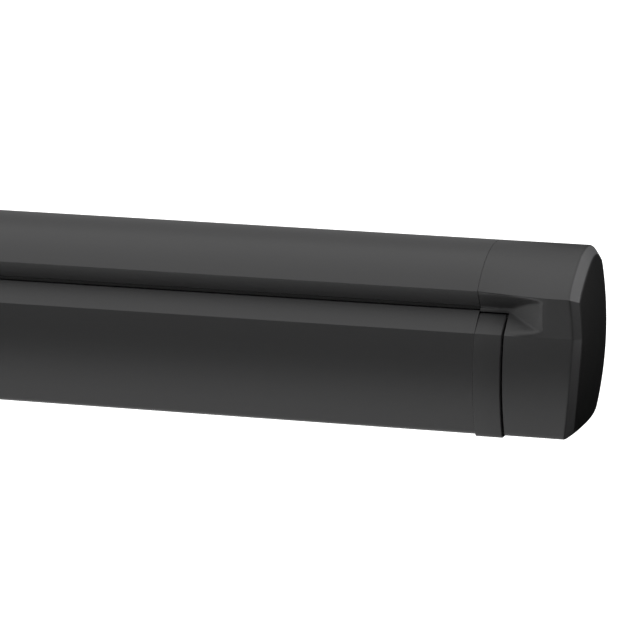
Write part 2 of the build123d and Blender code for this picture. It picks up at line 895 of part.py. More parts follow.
def make_shoulder_bracket():
    """A clevis on a foot that is bolted to the back of the case."""
    foot = (shoulder_block_near, shoulder_block_far, -neck_width / 2, neck_width / 2)
    clevis = cheek_pair((0, 0), cheek_radius, foot, cheek_top)
    clevis -= Cylinder(arm_pin_radius, 2 * arm_height)
    back = wall_gap + shell_wall
    behind = block(shoulder_x - case_height, end_x, -case_height, back, 0, case_height)
    bracket = arm_place() * clevis - behind
    near = shoulder_x + shoulder_block_near
    far = shoulder_x + shoulder_block_far
    low = arm_rise - cheek_top
    high = arm_rise + cheek_top
    bracket += block(near, far, back, back + shoulder_block_depth, low, high)
    face = back + shoulder_foot_thick
    foot_end = shoulder_x + shoulder_foot_length
    bracket += block(near, foot_end, back, face, shoulder_foot_low, shoulder_foot_high)
    for z in (shoulder_bolt_low, shoulder_bolt_high):
        x = shoulder_x + shoulder_bolt_x
        bracket -= rod_y(shoulder_bolt_radius, 0, face + overrun, x, z)
    return bracket


def make_shoulder_bolts():
    bolts = []
    face = wall_gap + shell_wall + shoulder_foot_thick
    for x, z in shoulder_bolt_places():
        bolt = rod_y(shoulder_bolt_radius, wall_gap - shoulder_bolt_tail, face, x, z)
        bolt += rod_y(shoulder_bolt_head, face, face + shoulder_bolt_head_height, x, z)
        bolt += rod_y(shoulder_bolt_head, wall_gap - shoulder_bolt_tail, wall_gap, x, z)
        bolts.append(bolt)
    return together(bolts)


def make_wrist_bracket():
    """A clevis on a plate that is riveted to the back of the lead bar."""
    front = -fold_pitch - arm_width
    foot = (-neck_width / 2, wrist_plate_far, front - wall_gap, front)
    clevis = cheek_pair((0, -fold_pitch), cheek_radius, foot, cheek_top)
    clevis -= Pos(Y=-fold_pitch) * Cylinder(arm_pin_radius, 2 * arm_height)
    bracket = arm_place() * clevis
    near = shoulder_x - wrist_plate_near
    far = shoulder_x + wrist_plate_far
    rear = bar_back_reach - wrist_plate_thick
    bracket += block(near, far, rear, bar_back_reach, wrist_plate_low, wrist_plate_high)
    beyond = bar_back_reach + front_reach
    return bracket - block(near - overrun, far + overrun, bar_back_reach, beyond, 0, case_height)


# Lead bar

def bar_outline(low, top):
    """The outside of the lead bar between two heights at its foot and its top."""
    foot = at(bar_foot_reach, low)
    edge = at(bar_edge_reach, bar_edge_height)
    front = ThreePointArc(edge, at(front_reach, front_height), foot)
    corners = [
        foot,
        at(bar_back_reach, low),
        at(bar_back_reach, bar_step_height),
        at(bar_neck_reach, bar_neck_height),
        at(bar_neck_reach, top),
        at(bar_top_reach, top),
        edge,
    ]
    return make_face([front, Polyline(*corners)])


def bar_port_places():
    """Where the screw ports of the lead bar are."""
    return [at(high_port_reach, high_port_height), at(rear_port_reach, rear_port_height)]


def make_lead_bar():
    outline = bar_outline(0, bar_top)
    inside = offset(outline, amount=-bar_wall)
    profile = outline - inside
    profile += inside & slab(
        bar_back_reach, front_reach, web_height - web_thick / 2, web_height + web_thick / 2
    )
    groove = Pos(*at(groove_reach, groove_height))
    groove_radius = hem_rod_radius + hem_gap
    profile += groove * Circle(groove_radius + groove_wall)
    for place in bar_port_places():
        profile += Pos(*place) * Circle(bar_port_radius) & outline
    profile -= [Pos(*place) * Circle(bar_port_bore) for place in bar_port_places()]
    profile -= groove * Circle(groove_radius)
    heading, length = canopy_direction()
    slot = Pos(X=length / 2) * Rectangle(length, groove_slot)
    profile -= groove * Rot(Z=degrees(heading)) * slot
    inner_foot = bar_foot_reach - bar_wall
    profile -= slab(bar_back_reach + bar_wall, inner_foot, -overrun, bar_wall + plug_gap)
    return along(profile, -seam_x, seam_x)


def make_bar_cap():
    """The moulded end of the lead bar: a hollow cap and a spigot."""
    outline = bar_outline(-bar_cap_drop, bar_top - bar_cap_top_drop)
    hollow = offset(outline, amount=-bar_cap_wall)
    cap_end = seam_x + bar_cap_width
    cap = along(outline, seam_x, cap_end)
    cap -= along(hollow, seam_x, cap_end - bar_cap_wall)
    inner = offset(bar_outline(0, bar_top), amount=-bar_wall - spigot_gap)
    inner &= slab(bar_back_reach, front_reach, spigot_low, spigot_high)
    inner -= Pos(*at(groove_reach, groove_height)) * Circle(
        hem_rod_radius + hem_gap + groove_wall + spigot_gap
    )
    core = offset(inner, amount=-bar_cap_wall)
    cap += along(inner - core, seam_x - spigot_length, cap_end - bar_cap_wall)
    for place in bar_port_places():
        cap -= rod_x(bar_cap_screw_radius, seam_x, cap_end, -place[0], place[1])
    return cap


def make_bar_cap_screws():
    screws = []
    face = seam_x + bar_cap_width
    for place in bar_port_places():
        reach, height = -place[0], place[1]
        low = seam_x - bar_cap_screw_depth
        shank = rod_x(bar_cap_screw_radius, low, face, reach, height)
        head_end = face + bar_cap_screw_head_height / 2
        screws.append(shank + rod_x(bar_cap_screw_head, face, head_end, reach, height))
    return together(screws)


# Legs at the right, stowed along the lead bar

def leg_hinge_x():
    return seam_x - leg_hinge_inset


def outer_leg_end():
    """Where the outer tube ends, towards the middle of the awning."""
    return inner_leg_end() + outer_leg_short


def inner_leg_end():
    return foot_pivot_x() + foot_setback


def foot_pivot_x():
    return leg_middle_gap + foot_length - foot_heel


def leg_section(gap):
    corner = leg_corner - gap / 2
    face = RectangleRounded(leg_width - 2 * gap, leg_height - 2 * gap, corner)
    return Pos(*at(leg_reach, leg_middle)) * face


def make_leg_outer_tube():
    face = leg_section(0) - leg_section(leg_wall)
    return along(face, outer_leg_end(), leg_hinge_x() - leg_top_setback)


def make_leg_knuckle():
    """The plug and eye at the top of the leg."""
    start = leg_hinge_x() - leg_top_setback
    knuckle = along(leg_section(leg_wall + plug_gap), start - leg_plug_length, start)
    near, far = leg_reach - leg_eye_width / 2, leg_reach + leg_eye_width / 2
    half = leg_height / 2 - leg_wall
    low, high = leg_middle - half, leg_middle + half
    knuckle += block(start, leg_hinge_x(), near, far, low, high)
    knuckle += rod_y(leg_eye_radius, near, far, leg_hinge_x(), leg_middle)
    bore = leg_pin_radius + running_gap
    return knuckle - rod_y(bore, near - overrun, far + overrun, leg_hinge_x(), leg_middle)


def make_leg_bracket():
    """Two cheeks on a plate under the web of the lead bar."""
    under_web = web_height - web_thick / 2
    near = leg_reach - leg_eye_width / 2 - slide_gap
    far = leg_reach + leg_eye_width / 2 + slide_gap
    x = leg_hinge_x()
    left, right = x - leg_cheek_radius, x + leg_cheek_radius
    low_near, high_far = near - leg_cheek_thick, far + leg_cheek_thick
    plate_low = under_web - leg_bracket_plate
    bracket = block(left, right, low_near, high_far, plate_low, under_web)
    for inner, outer in ((low_near, near), (far, high_far)):
        bracket += block(left, right, inner, outer, leg_middle, plate_low)
        bracket += rod_y(leg_cheek_radius, inner, outer, x, leg_middle)
    return bracket - rod_y(leg_pin_radius, low_near, high_far, x, leg_middle)


def make_leg_pin():
    half = leg_eye_width / 2 + slide_gap + leg_cheek_thick
    low, high = leg_reach - half, leg_reach + half
    return rod_y(leg_pin_radius, low, high, leg_hinge_x(), leg_middle)


def make_leg_collar():
    """The moulded end of the outer tube, with the ears of the lock lever."""
    start = outer_leg_end() - collar_length
    end = outer_leg_end() + leg_collar_length
    collar = along(leg_section(-leg_collar_wall) - leg_section(0), outer_leg_end(), end)
    clear = leg_wall + inner_leg_gap / 2
    collar += along(leg_section(-leg_collar_wall) - leg_section(clear), start, outer_leg_end())
    top = leg_middle - leg_height / 2
    low = lever_middle() - lever_barrel
    for side in (1, -1):
        inner = leg_reach + side * (lever_width / 2 + slide_gap)
        outer = inner + side * lever_ear
        near, far = min(inner, outer), max(inner, outer)
        left, right = start, start + 2 * lever_barrel
        collar += block(left, right, near, far, low, top)
    width = lever_width / 2 + lever_ear + overrun
    x = start + lever_barrel
    return collar - rod_y(lever_pin(), leg_reach - width, leg_reach + width, x, lever_middle())


def lever_pin():
    return lever_barrel / 2 + running_gap


def lever_middle():
    """Height of the lock lever's pivot, under the leg."""
    return leg_middle - leg_height / 2 - leg_collar_wall - slide_gap - lever_barrel


def make_lock_lever():
    """A flat lever that lies along the underside of the collar."""
    x = outer_leg_end() - collar_length + lever_barrel
    near, far = leg_reach - lever_width / 2, leg_reach + lever_width / 2
    lever = rod_y(lever_barrel, near, far, x, lever_middle())
    top = lever_middle() + lever_barrel
    lever += block(x, x + lever_length, near, far, top - lever_thick, top)
    half = lever_width / 2 + slide_gap + lever_ear
    pin = lever_pin() - running_gap
    return lever + rod_y(pin, leg_reach - half, leg_reach + half, x, lever_middle())


def make_leg_inner_tube():
    """The sliding tube, closed by a plug with the foot's eye."""
    clear = leg_wall + inner_leg_gap
    back = leg_hinge_x() - leg_top_setback - leg_plug_length - inner_leg_back
    face = leg_section(clear) - leg_section(clear + leg_wall)
    tube = along(face, inner_leg_end(), back)
    tube += along(leg_section(clear), inner_leg_end(), inner_leg_end() + foot_setback)
    near, far = leg_reach - foot_eye_width / 2, leg_reach + foot_eye_width / 2
    low, high = leg_middle - foot_eye_radius, leg_middle + foot_eye_radius
    tube += block(foot_pivot_x(), inner_leg_end(), near, far, low, high)
    tube += rod_y(foot_eye_radius, near, far, foot_pivot_x(), leg_middle)
    bore = foot_pin_radius + running_gap
    return tube - rod_y(bore, near - overrun, far + overrun, foot_pivot_x(), leg_middle)


def make_leg_foot():
    """A pad with two ears and its own pin, level under the leg in every position."""
    x = foot_pivot_x()
    sole = leg_middle - foot_drop
    half = leg_width / 2
    left, right = x + foot_heel - foot_length, x + foot_heel
    pad = block(left, right, leg_reach - half, leg_reach + half, sole, sole + foot_thick)
    for side in (1, -1):
        inner = leg_reach + side * (foot_eye_width / 2 + slide_gap)
        outer = inner + side * foot_ear_thick
        near, far = min(inner, outer), max(inner, outer)
        left_ear, right_ear = x - foot_eye_radius, x + foot_eye_radius
        pad += block(left_ear, right_ear, near, far, sole, leg_middle)
        pad += rod_y(foot_eye_radius, near, far, x, leg_middle)
    reach = foot_eye_width / 2 + slide_gap + foot_ear_thick
    return pad + rod_y(foot_pin_radius, leg_reach - reach, leg_reach + reach, x, leg_middle)


def make_leg_clips():
    """Plastic jaws under the web that hold the stowed legs."""
    clips = []
    half = leg_width / 2 + slide_gap
    under_web = web_height - web_thick / 2
    plate_low = under_web - clip_plate
    low = plate_low - clip_drop
    for x in (-clip_far, -clip_near, clip_near, clip_far):
        left, right = x - clip_width / 2, x + clip_width / 2
        near, far = leg_reach - half - clip_wall, leg_reach + half + clip_wall
        clip = block(left, right, near, far, plate_low, under_web)
        clip += block(left, right, near, near + clip_wall, low, under_web)
        clip += block(left, right, far - clip_wall, far, low, under_web)
        clips.append(clip)
    return together(clips)


# The nodes

def right_and_left(name, shape):
    """Two nodes, one for each end."""
    return {f"{name}_right": shape, f"{name}_left": other_side(shape)}


axle_end = seam_x + plate_thick + axle_past_plate
winch_axle_end = worm_x() + housing_back
bracket_names = ["left", "middle", "right"]

nodes = {
    "case_shell": make_case_shell(),
    "nose_seal": make_nose_seal(),
    "bracket_lock_screws": make_lock_screws(),
    "end_plate_right": make_end_plate(bearing_radius),
    "end_plate_left": make_left_plate(),
    "end_plate_screws": together([both_sides(make_plate_screws()), make_winch_screws()]),
    "end_cover_right": make_end_cover(),
    "end_cover_left": make_left_cover(),
    "roller_bearing": make_roller_bearing(),
    "roller_tube": make_roller_tube(),
    "fabric_roll": make_fabric_roll(),
    "roller_plug_right": make_roller_plug(axle_end),
    "roller_plug_left": other_side(make_roller_plug(winch_axle_end)),
    "winch_housing": make_winch_housing(),
    "winch_wheel": make_winch_wheel(),
    "winch_worm": make_winch_worm(),
    "crank_eye": make_crank_eye(),
    "fabric_panel": make_fabric_panel(),
    "front_hem_rod": make_hem_rod(),
    "shoulder_brackets": both_sides(make_shoulder_bracket()),
    "shoulder_bolts": make_shoulder_bolts(),
    "shoulder_pins": both_sides(make_pivot_pin(0)),
    "wrist_brackets": both_sides(make_wrist_bracket()),
    "wrist_pins": both_sides(make_pivot_pin(1)),
    "lead_bar": make_lead_bar(),
    "lead_bar_cap_screws": both_sides(make_bar_cap_screws()),
    "leg_brackets": both_sides(make_leg_bracket()),
    "leg_hinge_pins": both_sides(make_leg_pin()),
    "leg_clips": make_leg_clips(),
}
for name, x in zip(bracket_names, bracket_places()):
    nodes[f"wall_bracket_{name}"] = make_wall_bracket(x)
nodes |= right_and_left("inner_arm_tube", make_arm_tube(0))
nodes |= right_and_left("outer_arm_tube", make_arm_tube(1))
nodes |= right_and_left("shoulder_knuckle", make_arm_eye(0))
nodes |= right_and_left("wrist_tongue", make_arm_eye(1))
nodes |= right_and_left("elbow_fork", make_elbow_fork())
nodes |= right_and_left("elbow_pin", make_elbow_pin())
nodes |= right_and_left("elbow_tongue", make_elbow_tongue())
nodes |= right_and_left("lead_bar_cap", make_bar_cap())
nodes |= right_and_left("leg_outer_tube", make_leg_outer_tube())
nodes |= right_and_left("leg_knuckle", make_leg_knuckle())
nodes |= right_and_left("leg_collar", make_leg_collar())
nodes |= right_and_left("leg_lock_lever", make_lock_lever())
nodes |= right_and_left("leg_inner_tube", make_leg_inner_tube())
nodes |= right_and_left("leg_foot", make_leg_foot())

os.makedirs("parts", exist_ok=True)
for name, shape in nodes.items():
    export_step(Pos(Z=-fixing_middle) * shape, f"parts/{name}.step")
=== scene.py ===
"""Roll out awning: covers, canopy, fixings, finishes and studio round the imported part.

Metres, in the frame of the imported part: X runs along the awning, -Y is the front and +Z is
up. A cross-section is given by its reach (distance from the wall) and its height (above the
underside of the case). The file is laid out as an add-on and is run as a script.
"""

from math import acos, asin, atan2, ceil, cos, hypot, pi, radians, sin, sqrt

import bmesh
import bpy
from bpy.props import FloatProperty, FloatVectorProperty, PointerProperty
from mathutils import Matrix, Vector


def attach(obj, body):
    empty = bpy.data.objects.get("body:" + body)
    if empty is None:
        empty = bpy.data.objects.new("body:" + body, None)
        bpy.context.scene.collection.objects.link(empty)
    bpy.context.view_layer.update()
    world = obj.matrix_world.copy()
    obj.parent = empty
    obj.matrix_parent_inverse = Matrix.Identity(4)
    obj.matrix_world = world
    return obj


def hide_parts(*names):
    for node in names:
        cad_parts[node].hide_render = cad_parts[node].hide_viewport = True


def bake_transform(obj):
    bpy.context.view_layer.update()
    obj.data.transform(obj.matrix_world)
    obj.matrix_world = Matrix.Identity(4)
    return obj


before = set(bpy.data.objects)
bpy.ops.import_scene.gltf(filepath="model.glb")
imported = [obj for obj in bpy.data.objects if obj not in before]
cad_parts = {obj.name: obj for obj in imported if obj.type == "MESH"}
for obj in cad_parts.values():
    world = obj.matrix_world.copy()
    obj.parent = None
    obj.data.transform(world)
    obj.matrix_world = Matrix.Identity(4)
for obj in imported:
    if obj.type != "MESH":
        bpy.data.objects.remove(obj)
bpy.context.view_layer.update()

bl_info = {
    "name": "Roll Out Awning",
    "version": (1, 0, 0),
    "blender": (4, 5, 0),
    "location": "3D View > Sidebar > Awning",
    "description": "Covers, canopy, fixings, finishes and studio of a roll out awning",
    "category": "Object",
}


def size(name, description, default):
    """A length in metres."""
    return FloatProperty(name=name, description=description, default=default, unit="LENGTH", precision=4)


def number(name, description, default, **limits):
    """A plain number."""
    return FloatProperty(name=name, description=description, default=default, **limits)


def bearing(name, description, degrees):
    """An angle, given in degrees."""
    return FloatProperty(name=name, description=description, default=radians(degrees), unit="ROTATION")


def colour(name, description, default):
    """A colour in linear light."""
    return FloatVectorProperty(
        name=name, description=description, default=default, subtype="COLOR", size=3, min=0, max=1
    )


# Sizes and colours

class AwningCaseSizes(bpy.types.PropertyGroup):
    """The case, which the covers and the canopy are fitted to"""

    seam: size("Seam", "Middle of the awning to the joint of case and end cover", 1.225)
    length: size("Half length", "Middle of the awning to the end cover's outer face", 1.3)
    wall_gap: size("Wall gap", "Wall to the back of the case", 0.01)
    back_height: size("Back height", "Back edge of the roof", 0.115)
    roof_reach: size("Roof reach", "Middle of the roof arc", 0.034)
    roof_height: size("Roof height", "Middle of the roof arc", 0.1224)
    crown_reach: size("Crown reach", "Where the roof meets the brow", 0.0577)
    crown_height: size("Crown height", "Where the roof meets the brow", 0.1202)
    nose_reach: size("Nose reach", "Crease over the gap", 0.089)
    nose_height: size("Nose height", "Crease over the gap", 0.0974)
    fixing_height: size("Fixing height", "Middle of the wall fixings, where the frame has its origin", 0.055)


class AwningBarSizes(bpy.types.PropertyGroup):
    """The lead bar and its caps"""

    back_reach: size("Back", "Rear face of the lead bar", 0.066)
    neck_reach: size("Neck", "Rear face of the upper part", 0.0745)
    neck_height: size("Neck height", "Where the rear face starts to lean", 0.071)
    step_height: size("Step height", "Where the rear face stops leaning", 0.058)
    top: size("Top", "Top of the lead bar", 0.0832)
    top_reach: size("Top reach", "Front of the flat top", 0.083)
    edge_reach: size("Edge reach", "Crease under the bevel", 0.0963)
    edge_height: size("Edge height", "Crease under the bevel", 0.0702)
    front_reach: size("Front reach", "Foremost point of the front", 0.1)
    front_height: size("Front height", "Foremost point of the front", 0.046)
    foot_reach: size("Foot reach", "Front edge of the underside", 0.092)
    foot_corner: size("Foot corner", "Width over which the front lower corner is rounded", 0.0032)
    cap_drop: size("Cap drop", "How far the cap hangs below the bar", 0.0017)
    cap_top: size("Cap top", "Top of the cap", 0.0816)
    cap_width: size("Cap width", "Seam to the outer face of the cap", 0.019)
    cap_edge: size("Cap edge", "Rounding of the cap's outer edge", 0.0011)


class AwningCoverSizes(bpy.types.PropertyGroup):
    """The moulded end covers"""

    wall: size("Wall", "Moulded wall", 0.0024)
    end_wall: size("End wall", "Thickest part of the domed end", 0.014)
    hip_nose: size("Hip nose", "Reach of the crease where the groove starts to close", 0.0934)
    flush_nose: size("Flush nose", "Reach of the crease past the groove", 0.0985)
    flush_edge: size("Flush edge", "Reach of the lower crease past the groove", 0.0972)
    valley_reach: size("Valley reach", "Bottom of the groove", 0.081)
    valley_height: size("Valley height", "Bottom of the groove", 0.085)
    hip: size("Hip", "Seam to where the groove starts to close", 0.02)
    rim: size("Rim", "Seam to the rounded end of the groove", 0.0472)
    flush: size("Flush", "Seam to where the front is full", 0.0505)
    rim_rise: size("Rim rise", "How far the groove's lower edge climbs", 0.004)
    rim_corner: size("Rim corner", "Corner radius of the groove's end", 0.004)
    fillet: size("Fillet", "Radius that eases the groove's creases", 0.0011)
    seam_edge: size("Seam edge", "Rounding of the edge that meets the case", 0.0004)
    end: size("End", "Middle of the awning to the middle of the outer face", 1.2993)
    dome_radius: size("Dome radius", "Radius of the outer face", 0.28)
    dome_reach: size("Dome reach", "Middle of the outer face", 0.0607)
    dome_height: size("Dome height", "Middle of the outer face", 0.0637)
    bevel: size("Bevel", "Width of the outer face's bevelled edge, seen from the end", 0.0075)
    under_bevel: size("Underside bevel", "Width of the bevelled edge on the underside", 0.005)
    brow_bevel: size("Brow bevel", "Width of the bevelled edge at the brow", 0.0063)
    brow_rise: size("Brow rise", "How far the outer line of the bevel stands back at the brow", 0.0054)
    # Painted light on the covers' colour: a painted highlight on the bevel, strongest at the brow, and
    # painted shade on the domed face
    brow_painted_highlight: number("Brow tint", "How much paler the bevel is at the brow", 2.8)
    bevel_painted_highlight: number("Bevel tint", "How much paler the rest of the bevel is", 0.7)
    end_painted_shade: number("End tint", "How much darker the domed face is", -0.35)
    back_rise: size("Back rise", "Rise of the bevel along the back edge", 0.003)
    back_corner: size("Back corner", "Width over which the upper back corner is rounded at the end", 0.004)
    bevel_rise: size("Bevel rise", "Width of the bevelled edge along the awning", 0.0039)
    passage_gap: size("Passage gap", "Lead bar cap to the wall behind it", 0.0008)
    passage_top: size("Passage top", "Roof of the passage of the lead bar cap", 0.0828)
    passage_width: size("Passage width", "Seam to the end of the passage", 0.0205)
    well_reach: size("Well reach", "Middle of the crank well", 0.06475)
    well_offset: size("Well offset", "Seam to the middle of the crank well", 0.037)
    well_radius: size("Well radius", "Bore of the crank well", 0.013)
    well_wall: size("Well wall", "Wall of the crank well", 0.002)
    well_height: size("Well height", "Depth of the crank well", 0.036)
    shaft_radius: size("Shaft hole", "Hole for the winch shaft", 0.0043)


class AwningFixings(bpy.types.PropertyGroup):
    """Where the screws and bolts are"""

    plate: size("End plate", "Thickness of an end plate", 0.004)
    ear: size("Winch ear", "Thickness of the winch's ears", 0.004)
    plate_head: size("Plate screw", "Head radius", 0.0033)
    top_port_reach: size("Rear ports", "Reach of the rear screws", 0.0162)
    top_port_height: size("Top port", "Height of the upper rear screw", 0.1113)
    low_port_height: size("Low port", "Height of the lower rear screw", 0.006)
    nose_port_reach: size("Nose port", "Reach of the screw behind the nose", 0.0797)
    nose_port_height: size("Nose port height", "Height of the screw behind the nose", 0.0939)
    roller_reach: size("Winch screws", "Reach of the winch screws", 0.044)
    ear_low: size("Lower ear", "Height of the lower winch screw", 0.0615)
    ear_high: size("Upper ear", "Height of the upper winch screw", 0.1105)
    cap_head: size("Cap screw", "Head radius", 0.0032)
    cap_high_reach: size("Upper cap screw", "Reach", 0.0795)
    cap_high_height: size("Upper cap screw height", "Height", 0.0785)
    cap_rear_reach: size("Rear cap screw", "Reach", 0.0706)
    cap_rear_height: size("Rear cap screw height", "Height", 0.036)
    bracket: size("Bracket", "Middle of the awning to an outer wall bracket", 0.9)
    lock_reach: size("Lock screw", "Reach of the lock screws", 0.024)
    lock_height: size("Lock screw height", "Underside of the brackets", -0.004)
    lock_head: size("Lock screw head", "Head radius", 0.0055)
    bolt: size("Shoulder bolt", "Middle of the awning to the shoulder bolts", 1.196)
    bolt_reach: size("Shoulder bolt reach", "Face under the bolt heads", 0.0152)
    bolt_low: size("Lower bolt", "Height of the lower shoulder bolt", 0.023)
    bolt_high: size("Upper bolt", "Height of the upper shoulder bolt", 0.044)
    bolt_head: size("Shoulder bolt head", "Head radius", 0.005)


class AwningClothSizes(bpy.types.PropertyGroup):
    """The canopy on its roller and in its hem"""

    half_width: size("Half width", "Half the width of the canopy", 1.18)
    core: size("Core", "Roller tube under the first turn", 0.0221)
    outside: size("Outside", "Outside of the last turn", 0.0283)
    pitch: size("Pitch", "One turn to the next", 0.0005)
    thick: size("Thickness", "Coated cloth", 0.00035)
    roller_reach: size("Roller reach", "Roller axis", 0.044)
    roller_height: size("Roller height", "Roller axis", 0.086)
    groove_reach: size("Groove reach", "Hem rod in the lead bar", 0.0705)
    groove_height: size("Groove height", "Hem rod in the lead bar", 0.0625)
    hem_rod: size("Hem rod", "Radius of the hem rod", 0.0024)
    stitch: size("Stitch", "Length of one stitch", 0.0028)
    stitch_pitch: size("Stitch pitch", "One stitch to the next", 0.004)
    thread: size("Thread", "Half the width of the sewing thread", 0.0005)
    seam: size("Hem seam", "Place of the hem's seam along the canopy", 1.985)
    seam_gap: size("Seam gap", "Between the two rows of stitches", 0.006)
    canopy_length: size("Canopy length", "Roll to hem when the awning is open", 2.0)
    band_pitch: size("Band pitch", "One woven pattern of bands to the next", 0.295)


class AwningColours(bpy.types.PropertyGroup):
    """Colours of the coats, the plastic, the cloth and the floor"""

    case: colour("Case coat", "Powder coat of the case", (0.034, 0.034, 0.0345))
    bar: colour("Bar coat", "Powder coat of the lead bar", (0.032, 0.032, 0.0325))
    cover: colour("Cover plastic", "Moulded ends", (0.033, 0.033, 0.0335))
    cloth: colour("Cloth", "Ground of the canopy", (0.30, 0.31, 0.33))
    cloth_band: colour("Cloth band", "Woven bands of the canopy", (0.18, 0.19, 0.205))
    floor: colour("Floor", "Studio floor", (0.78, 0.78, 0.78))


class AwningStageSizes(bpy.types.PropertyGroup):
    """The floor, the camera and the lamps"""

    floor_height: size("Floor", "Where the feet stand when the awning is open", -2.352)
    floor_side: size("Floor side", "Side of the studio floor", 80.0)
    sensor: number("Sensor", "Width of the camera's sensor in millimetres", 36.0)
    lens: number("Lens", "Focal length in millimetres", 261.28)
    eye: FloatVectorProperty(
        name="Camera", description="Place of the camera", default=(2.02776, -3.01995, 0.67409),
        subtype="TRANSLATION", size=3, precision=5,
    )
    azimuth: bearing("Azimuth", "Camera's turn from straight ahead", 17.3)
    elevation: bearing("Elevation", "Camera's downward tilt", 12.1)
    key: number("Key light", "Strength of the soft light overhead", 2.1, min=0)
    fill: number("Fill light", "Strength of the soft light from the left", 0.5, min=0)
    rim: number("Rim light", "Strength of the small light behind the right end", 0.6, min=0)
    ambient: number("Ambient", "Strength of the room's light", 0.38, min=0)
    backing: number("Floor glow", "Brightness that the camera sees added to the floor", 0.75, min=0)


# Points, sections and meshes

# Sine of the angle under which two sides of a section count as one straight line
IN_LINE = 1e-3
# Points round an upright cutter
ROUND_STEPS = 72
# The two ends of the awning: their way along X and their names
SIDES = ((1, "right"), (-1, "left"))


def case():
    """The sizes of the case."""
    return bpy.context.scene.awning_case


def bar():
    """The sizes of the lead bar."""
    return bpy.context.scene.awning_bar


def cover_sizes():
    """The sizes of the end covers."""
    return bpy.context.scene.awning_cover


def cloth_sizes():
    """The sizes of the canopy."""
    return bpy.context.scene.awning_cloth


def place(x, reach, height):
    """A point of the frame from a place along the awning, a reach and a height."""
    return Vector((x, -reach, height - case().fixing_height))


def circle_middle(first, middle, last):
    """Middle of the circle through three points of a section."""
    (ax, ay), (bx, by), (cx, cy) = first, middle, last
    d = 2 * (ax * (by - cy) + bx * (cy - ay) + cx * (ay - by))
    a, b, c = ax * ax + ay * ay, bx * bx + by * by, cx * cx + cy * cy
    x = (a * (by - cy) + b * (cy - ay) + c * (ay - by)) / d
    y = (a * (cx - bx) + b * (ax - cx) + c * (bx - ax)) / d
    return x, y


def turn_on_circle(middle, start, end, shares):
    """Points of the shorter arc from start to end at the given shares of it."""
    radius = hypot(start[0] - middle[0], start[1] - middle[1])
    first = atan2(start[1] - middle[1], start[0] - middle[0])
    turn = atan2(end[1] - middle[1], end[0] - middle[0]) - first
    turn = (turn + pi) % (2 * pi) - pi
    angles = [first + turn * share for share in shares]
    return [(middle[0] + radius * cos(a), middle[1] + radius * sin(a)) for a in angles]


def touching_middle(start, first_middle, end):
    """Middle of the circle that leaves another circle smoothly at start and ends at end."""
    away = (start[0] - first_middle[0], start[1] - first_middle[1])
    span = hypot(*away)
    normal = (-away[0] / span, -away[1] / span)
    chord = (end[0] - start[0], end[1] - start[1])
    reach = (chord[0] ** 2 + chord[1] ** 2) / (2 * (chord[0] * normal[0] + chord[1] * normal[1]))
    return (start[0] + normal[0] * reach, start[1] + normal[1] * reach)


def eased(count, first=True):
    """Shares from 0 up to but not including 1, closer together at the last end or at both."""
    shares = [i / count for i in range(count)]
    if first:
        return [(1 - cos(pi * s)) / 2 for s in shares]
    return [sin(pi * s / 2) for s in shares]


def roof_and_brow(nose, roof_shares, brow_shares):
    """The top of a section from the back edge to the nose, without the nose itself."""
    c = case()
    back, crown = (c.wall_gap, c.back_height), (c.crown_reach, c.crown_height)
    middle = circle_middle(back, (c.roof_reach, c.roof_height), crown)
    brow = touching_middle(crown, middle, nose)
    roof = turn_on_circle(middle, back, crown, roof_shares)
    return roof + turn_on_circle(brow, crown, nose, brow_shares)


def bar_front(edge_reach, shares, drop=0):
    """The rounded front from its upper crease to the foot, without the foot itself."""
    b = bar()
    edge, foot = (edge_reach, b.edge_height), (b.foot_reach, -drop)
    middle = circle_middle(edge, (b.front_reach, b.front_height), foot)
    return turn_on_circle(middle, edge, foot, shares)


def point_on(start, end, share):
    """The point at a share of a straight run."""
    return tuple(a + (b - a) * share for a, b in zip(start, end))


def line(start, end, shares):
    """Points of a straight run at the given shares of it."""
    return [point_on(start, end, share) for share in shares]


def drawn_in(points, distance):
    """A closed section drawn in by a wall: a number, or one number for each side."""
    walls = distance if isinstance(distance, list) else [distance] * len(points)
    area = sum(a[0] * b[1] - b[0] * a[1] for a, b in zip(points, points[1:] + points[:1]))
    way = 1 if area > 0 else -1
    result = []
    for i, point in enumerate(points):
        before, after = points[i - 1], points[(i + 1) % len(points)]
        sides = []
        for start, end, wall in ((before, point, walls[i - 1]), (point, after, walls[i])):
            dx, dy = end[0] - start[0], end[1] - start[1]
            span = hypot(dx, dy) or 1
            sides.append((-dy / span * way, dx / span * way, wall))
        (ax, ay, a), (bx, by, b) = sides
        cross = ax * by - ay * bx
        if abs(cross) < IN_LINE:
            wall = (a + b) / 2
            result.append((point[0] + ax * wall, point[1] + ay * wall))
        else:
            result.append((point[0] + (a * by - b * ay) / cross, point[1] + (ax * b - bx * a) / cross))
    return result


def rounded(points, corner, width):
    """Eases one corner of a closed section: the points within a width of it move onto a bend."""
    tip, count, ends = points[corner], len(points), []
    for way in (-1, 1):
        gone, i, near = 0.0, corner, []
        while True:
            k = (i + way) % count
            step = hypot(points[k][0] - points[i][0], points[k][1] - points[i][1])
            if gone + step >= width:
                break
            gone, i = gone + step, k
            near.append((k, gone))
        share = (width - gone) / step
        ends.append(point_on(points[i], points[k], share))
        ends.append(near)
    start, before, end, after = ends

    def bend(u):
        return tuple((1 - u) ** 2 * a + 2 * u * (1 - u) * b + u * u * c for a, b, c in zip(start, tip, end))

    eased_points = list(points)
    for near, way in ((before, -0.5), (after, 0.5)):
        for k, gone in near:
            eased_points[k] = bend(0.5 + way * gone / width)
    eased_points[corner] = bend(0.5)
    return eased_points


